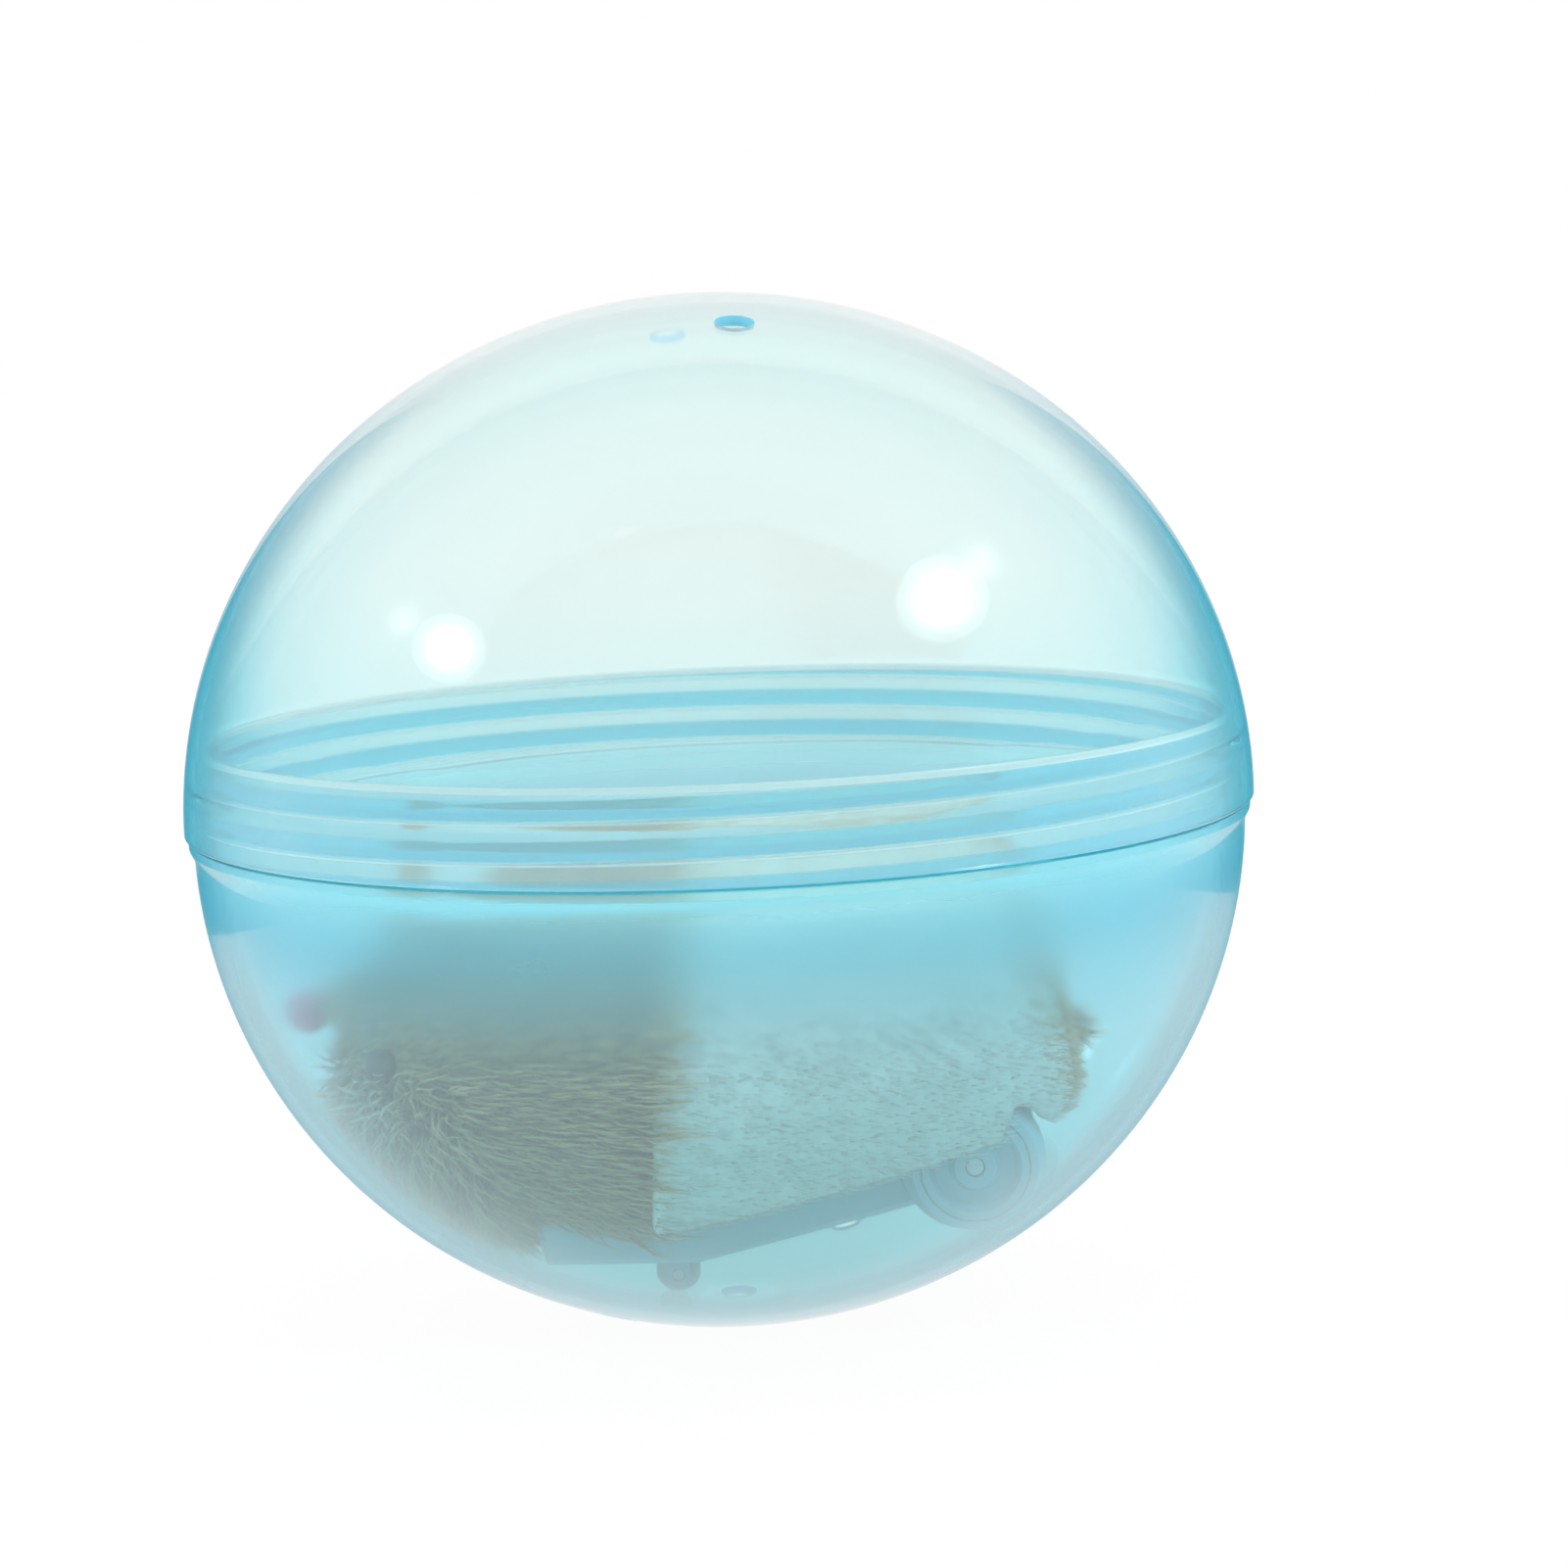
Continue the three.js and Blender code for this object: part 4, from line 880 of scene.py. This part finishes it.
def grow(name, skin, strand, finish, count, length, lean, stray, seed):
    """A piece of pile on a skin; count is strands per square metre."""
    host = bpy.data.objects.new("host", skin.data)
    bpy.context.scene.collection.objects.link(host)
    growth = host.modifiers.new("pile", "NODES")
    growth.node_group = pile_group
    flow = to_ball.to_3x3() @ Vector(PILE_FLOW)
    values = {"Strand": strand, "Count": count, "Length": length, "Flow": flow, "Lean": lean, "Stray": stray,
              "Seed": seed, "Finish": finish}
    for label, value in values.items():
        growth[pile_sockets[label]] = value
    depsgraph = bpy.context.evaluated_depsgraph_get()
    mesh = bpy.data.meshes.new_from_object(host.evaluated_get(depsgraph))
    bpy.data.objects.remove(host)
    piece = bpy.data.objects.new(name, mesh)
    bpy.context.scene.collection.objects.link(piece)
    shade(piece, ALL_SMOOTH)
    return piece


# Pieces

clear_lid = hazy_shell("ball_clear_lid", **LID_LOOK)
clear_bowl = hazy_shell("ball_clear_bowl", **BOWL_LOOK, threaded=True)
# Pale vent edges: painted light, standing for light carried inside the wall
vent_edge = frosted_edge("vent_edge", rgb(140, 218, 240))
white_skin = backing_cloth("white_backing", rgb(240, 236, 228))
tan_skin = backing_cloth("tan_backing", rgb(190, 144, 98))

lid = build_lid(clear_lid)
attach(lid, "lid")
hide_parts("ball_upper_shell")

bowl = build_bowl(clear_bowl)
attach(bowl, "ball")
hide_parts("ball_lower_shell")

# Root and tip colours of each pile; the darker roots are painted shade deep in the pile
tan = (rgb(184, 138, 92), rgb(244, 202, 148))
pale = (rgb(190, 182, 168), rgb(240, 234, 222))
white = (rgb(224, 221, 214), rgb(244, 241, 234))
head_fur = fur_finish("head_fur", tan, pale, muzzle_mask, depth=0.3)
body_fur = fur_finish("body_fur", white, tan, rump_mask, depth=0.05)
small_fur = fur_finish("small_fur", tan, pale, slight_mask, depth=0.35)
pile_group, pile_sockets = pile_tree()
long_strand = strand_mesh("strand_long", bend=0.45, radius=0.035)
short_strand = strand_mesh("strand_short", bend=0.5, radius=0.045)

# Name, node, backing, slot and voxel, then strand, pile, strands per square metre, length, lean and stray
PLUSH = (
    ("body", "plush_body", white_skin, "white_fur", 0.9 * MM,
     short_strand, body_fur, 1.8e6, 1.8 * MM, 1.6, 0.25),
    ("head", "plush_head", tan_skin, "tan_fur", 0.9 * MM,
     long_strand, head_fur, 2.3e6, 4.2 * MM, 1.0, 0.45),
    ("tail", "plush_tail", tan_skin, "tan_fur", 0.4 * MM,
     long_strand, small_fur, 2.0e6, 2.6 * MM, 0.8, 0.4),
    ("ear_left", "ear_left", tan_skin, "tan_fur", 0.3 * MM,
     short_strand, small_fur, 3.0e6, 1.2 * MM, 0.6, 0.3),
    ("ear_right", "ear_right", tan_skin, "tan_fur", 0.3 * MM,
     short_strand, small_fur, 3.0e6, 1.2 * MM, 0.6, 0.3),
)
for seed, (name, node, backing, slot, voxel, strand, pile, count, length, lean, stray) in enumerate(PLUSH):
    skin = stuffed(name + "_skin", node, backing, voxel)
    mark_outside(skin, node)
    coat = grow(name + "_pile", skin, strand, pile, count, length, lean, stray, seed)
    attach(skin, "hamster")
    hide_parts(node)
    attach(coat, "hamster")
    for piece in (skin, coat):
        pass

finishes = {
    "chassis_plastic": moulded_plastic("chassis_plastic", rgb(146, 200, 212), roughness=0.45),
    "dark_plastic": moulded_plastic("dark_plastic", rgb(84, 92, 100), roughness=0.5),
    "nylon": moulded_plastic("nylon", rgb(226, 224, 214), roughness=0.4),
    "tyre_rubber": tyre_rubber("tyre_rubber", rgb(146, 196, 208)),
    "steel": plated_metal("steel", rgb(190, 192, 196), roughness=0.3),
    "red_lead": moulded_plastic("red_lead", rgb(176, 36, 32), roughness=0.4),
    "black_lead": moulded_plastic("black_lead", rgb(36, 36, 38), roughness=0.4),
    "pink_plastic": polished_bead("pink_plastic", rgb(255, 60, 132), roughness=0.25),
    "black_bead": polished_bead("black_bead", rgb(26, 22, 22), roughness=0.12),
}
for part in frame["record"]["subparts"]:
    finish = finishes.get(part["material_slot"])
    if finish is not None:
        node_mesh = frame["nodes"][part["node"]].data
        node_mesh.materials.clear()
        node_mesh.materials.append(finish)


# Stage

def ray_share(graph):
    """1 for what the camera sees straight, in a reflection or through the shells."""
    path = graph.node("ShaderNodeLightPath")
    return (path["Is Camera Ray"] + path["Is Glossy Ray"] + path["Is Transmission Ray"]).limited()


def fill_light(graph):
    """White to the eye, and brighter for what lights the pieces."""
    return graph.node("ShaderNodeLightPath")["Diffuse Depth"].limited() * (FILL_LEVEL - 1) + 1


def white_floor():
    """Matt white that glows a little, and more where it is seen, so that it shows as a white ground."""
    f = Finish("floor_white")
    speck = f.noise(30.0, 2.0)
    white_tone = f.blend(speck * 0.1, (0.9, 0.9, 0.9, 1), (0.86, 0.86, 0.86, 1))
    matt = f.principled(Base_Color=white_tone, Roughness=0.9)
    glow = f.node("ShaderNodeEmission", None, {"Color": (1, 1, 1, 1), "Strength": fill_light(f)})["Emission"]
    return f.surface(f.mix(ray_share(f) * FLOOR_SEEN_GLOW + FLOOR_GLOW, matt, glow))


floor_form = bmesh.new()
bmesh.ops.create_circle(floor_form, cap_ends=True, segments=FLOOR_SEGMENTS, radius=FLOOR_RADIUS)
bmesh.ops.translate(floor_form, vec=(0, 0, -BALL_RADIUS), verts=floor_form.verts)
floor = new_piece("floor", floor_form, white_floor())
floor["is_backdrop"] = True


# Two blue cards beside the ball, which only its sides mirror

def flag_finish(name, colour):
    """A card that pales towards its top and its front end."""
    f = Finish(name)
    _, behind, up = f.axes(f.place())
    rise = ((up - FLAG_FADE[0]) / (FLAG_FADE[1] - FLAG_FADE[0])).limited()
    front = ((FLAG_FROM[1] - behind) / (FLAG_FROM[1] - FLAG_TO[1])).limited()
    shade_of = f.blend((rise + front ** 2.0).limited(), colour, (1, 1, 1, 1))
    return f.surface(f.node("ShaderNodeEmission", None, {"Color": shade_of, "Strength": 1.0})["Emission"])


def put_card(name, finish, ends, low, high):
    """An upright card between two points of the floor plan, which only reflections show."""
    form = bmesh.new()
    (x0, y0), (x1, y1) = ends
    form.faces.new([form.verts.new(corner) for corner in
                    ((x0, y0, low), (x1, y1, low), (x1, y1, high), (x0, y0, high))])
    card = new_piece(name, form, finish)
    card.visible_camera = False
    card.visible_diffuse = False
    card.visible_transmission = False
    card.visible_shadow = False
    card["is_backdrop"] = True


blue_card = flag_finish("blue_card", (0.02, 0.38, 0.58, 1))
for side, word in ((-1, "left"), (1, "right")):
    card_ends = [(side * x, y) for x, y in (FLAG_FROM, FLAG_TO)]
    put_card("blue_card_" + word, blue_card, card_ends, -BALL_RADIUS, FLAG_TOP)

world = bpy.data.worlds.new("studio")
bpy.context.scene.world = world
world.use_nodes = True
sky = Graph(world.node_tree)
backdrop = sky.node("ShaderNodeBackground", None, {"Color": (1, 1, 1, 1), "Strength": fill_light(sky)})
sky.node("ShaderNodeOutputWorld", None, {"Surface": backdrop["Background"]})

# Camera

rise = math.radians(CAMERA_ELEVATION)
eye = Vector((0, -math.cos(rise), math.sin(rise))) * CAMERA_DISTANCE
camera_data = bpy.data.cameras.new("camera")
camera_data.sensor_width = SENSOR
camera_data.lens = FOCAL_PIXELS / PHOTO_SIDE * SENSOR
camera_data.shift_x = (PHOTO_SIDE / 2 - BALL_PIXEL[0]) / PHOTO_SIDE
camera_data.shift_y = (BALL_PIXEL[1] - PHOTO_SIDE / 2) / PHOTO_SIDE
camera_data.clip_start = CLIP_START
camera = bpy.data.objects.new("camera", camera_data)
bpy.context.scene.collection.objects.link(camera)
roll = Matrix.Rotation(-math.radians(CAMERA_ROLL), 4, "Z")
turn = Euler((math.pi / 2 - rise, 0, 0)).to_matrix().to_4x4() @ roll
camera.matrix_world = Matrix.Translation(eye) @ turn
bpy.context.scene.camera = camera


# Lamps

def glint_direction(across, down):
    """Where a lamp stands so that the ball's lid shows its glint at that pixel of the photograph."""
    sight = Vector((across - BALL_PIXEL[0], BALL_PIXEL[1] - down, -FOCAL_PIXELS))
    look = (turn.to_3x3() @ sight).normalized()
    along = -eye.dot(look)
    reach = math.sqrt(BALL_RADIUS ** 2 - (eye.length_squared - along * along))
    face = (eye + look * (along - reach)).normalized()
    return look - 2 * look.dot(face) * face, face * BALL_RADIUS


for name, (across, down, radius) in GLINTS.items():
    heading, start = glint_direction(across, down)
    for ring, (wider, radiance) in enumerate(LAMP_RINGS):
        lamp_data = bpy.data.lights.new(f"{name}_{ring}", "AREA")
        lamp_data.shape = "ELLIPSE"
        lamp_data.size = 2 * radius * wider * LAMP_STRETCH
        lamp_data.size_y = 2 * radius * wider
        lamp_data.energy = radiance * LAMP_STRETCH * (math.pi * radius * wider) ** 2
        lamp = bpy.data.objects.new(lamp_data.name, lamp_data)
        bpy.context.scene.collection.objects.link(lamp)
        away = (start - heading * start.dot(heading)).normalized()
        aim = Matrix((away, heading.cross(away), heading)).transposed().to_4x4()
        lamp.matrix_world = Matrix.Translation(start + heading * LAMP_DISTANCE) @ aim
        lamp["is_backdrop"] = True

bpy.context.scene.view_settings.view_transform = "Standard"

({"cad": [list(corner) for corner in cad_box],
           "visual": [list(corner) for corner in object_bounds()]})
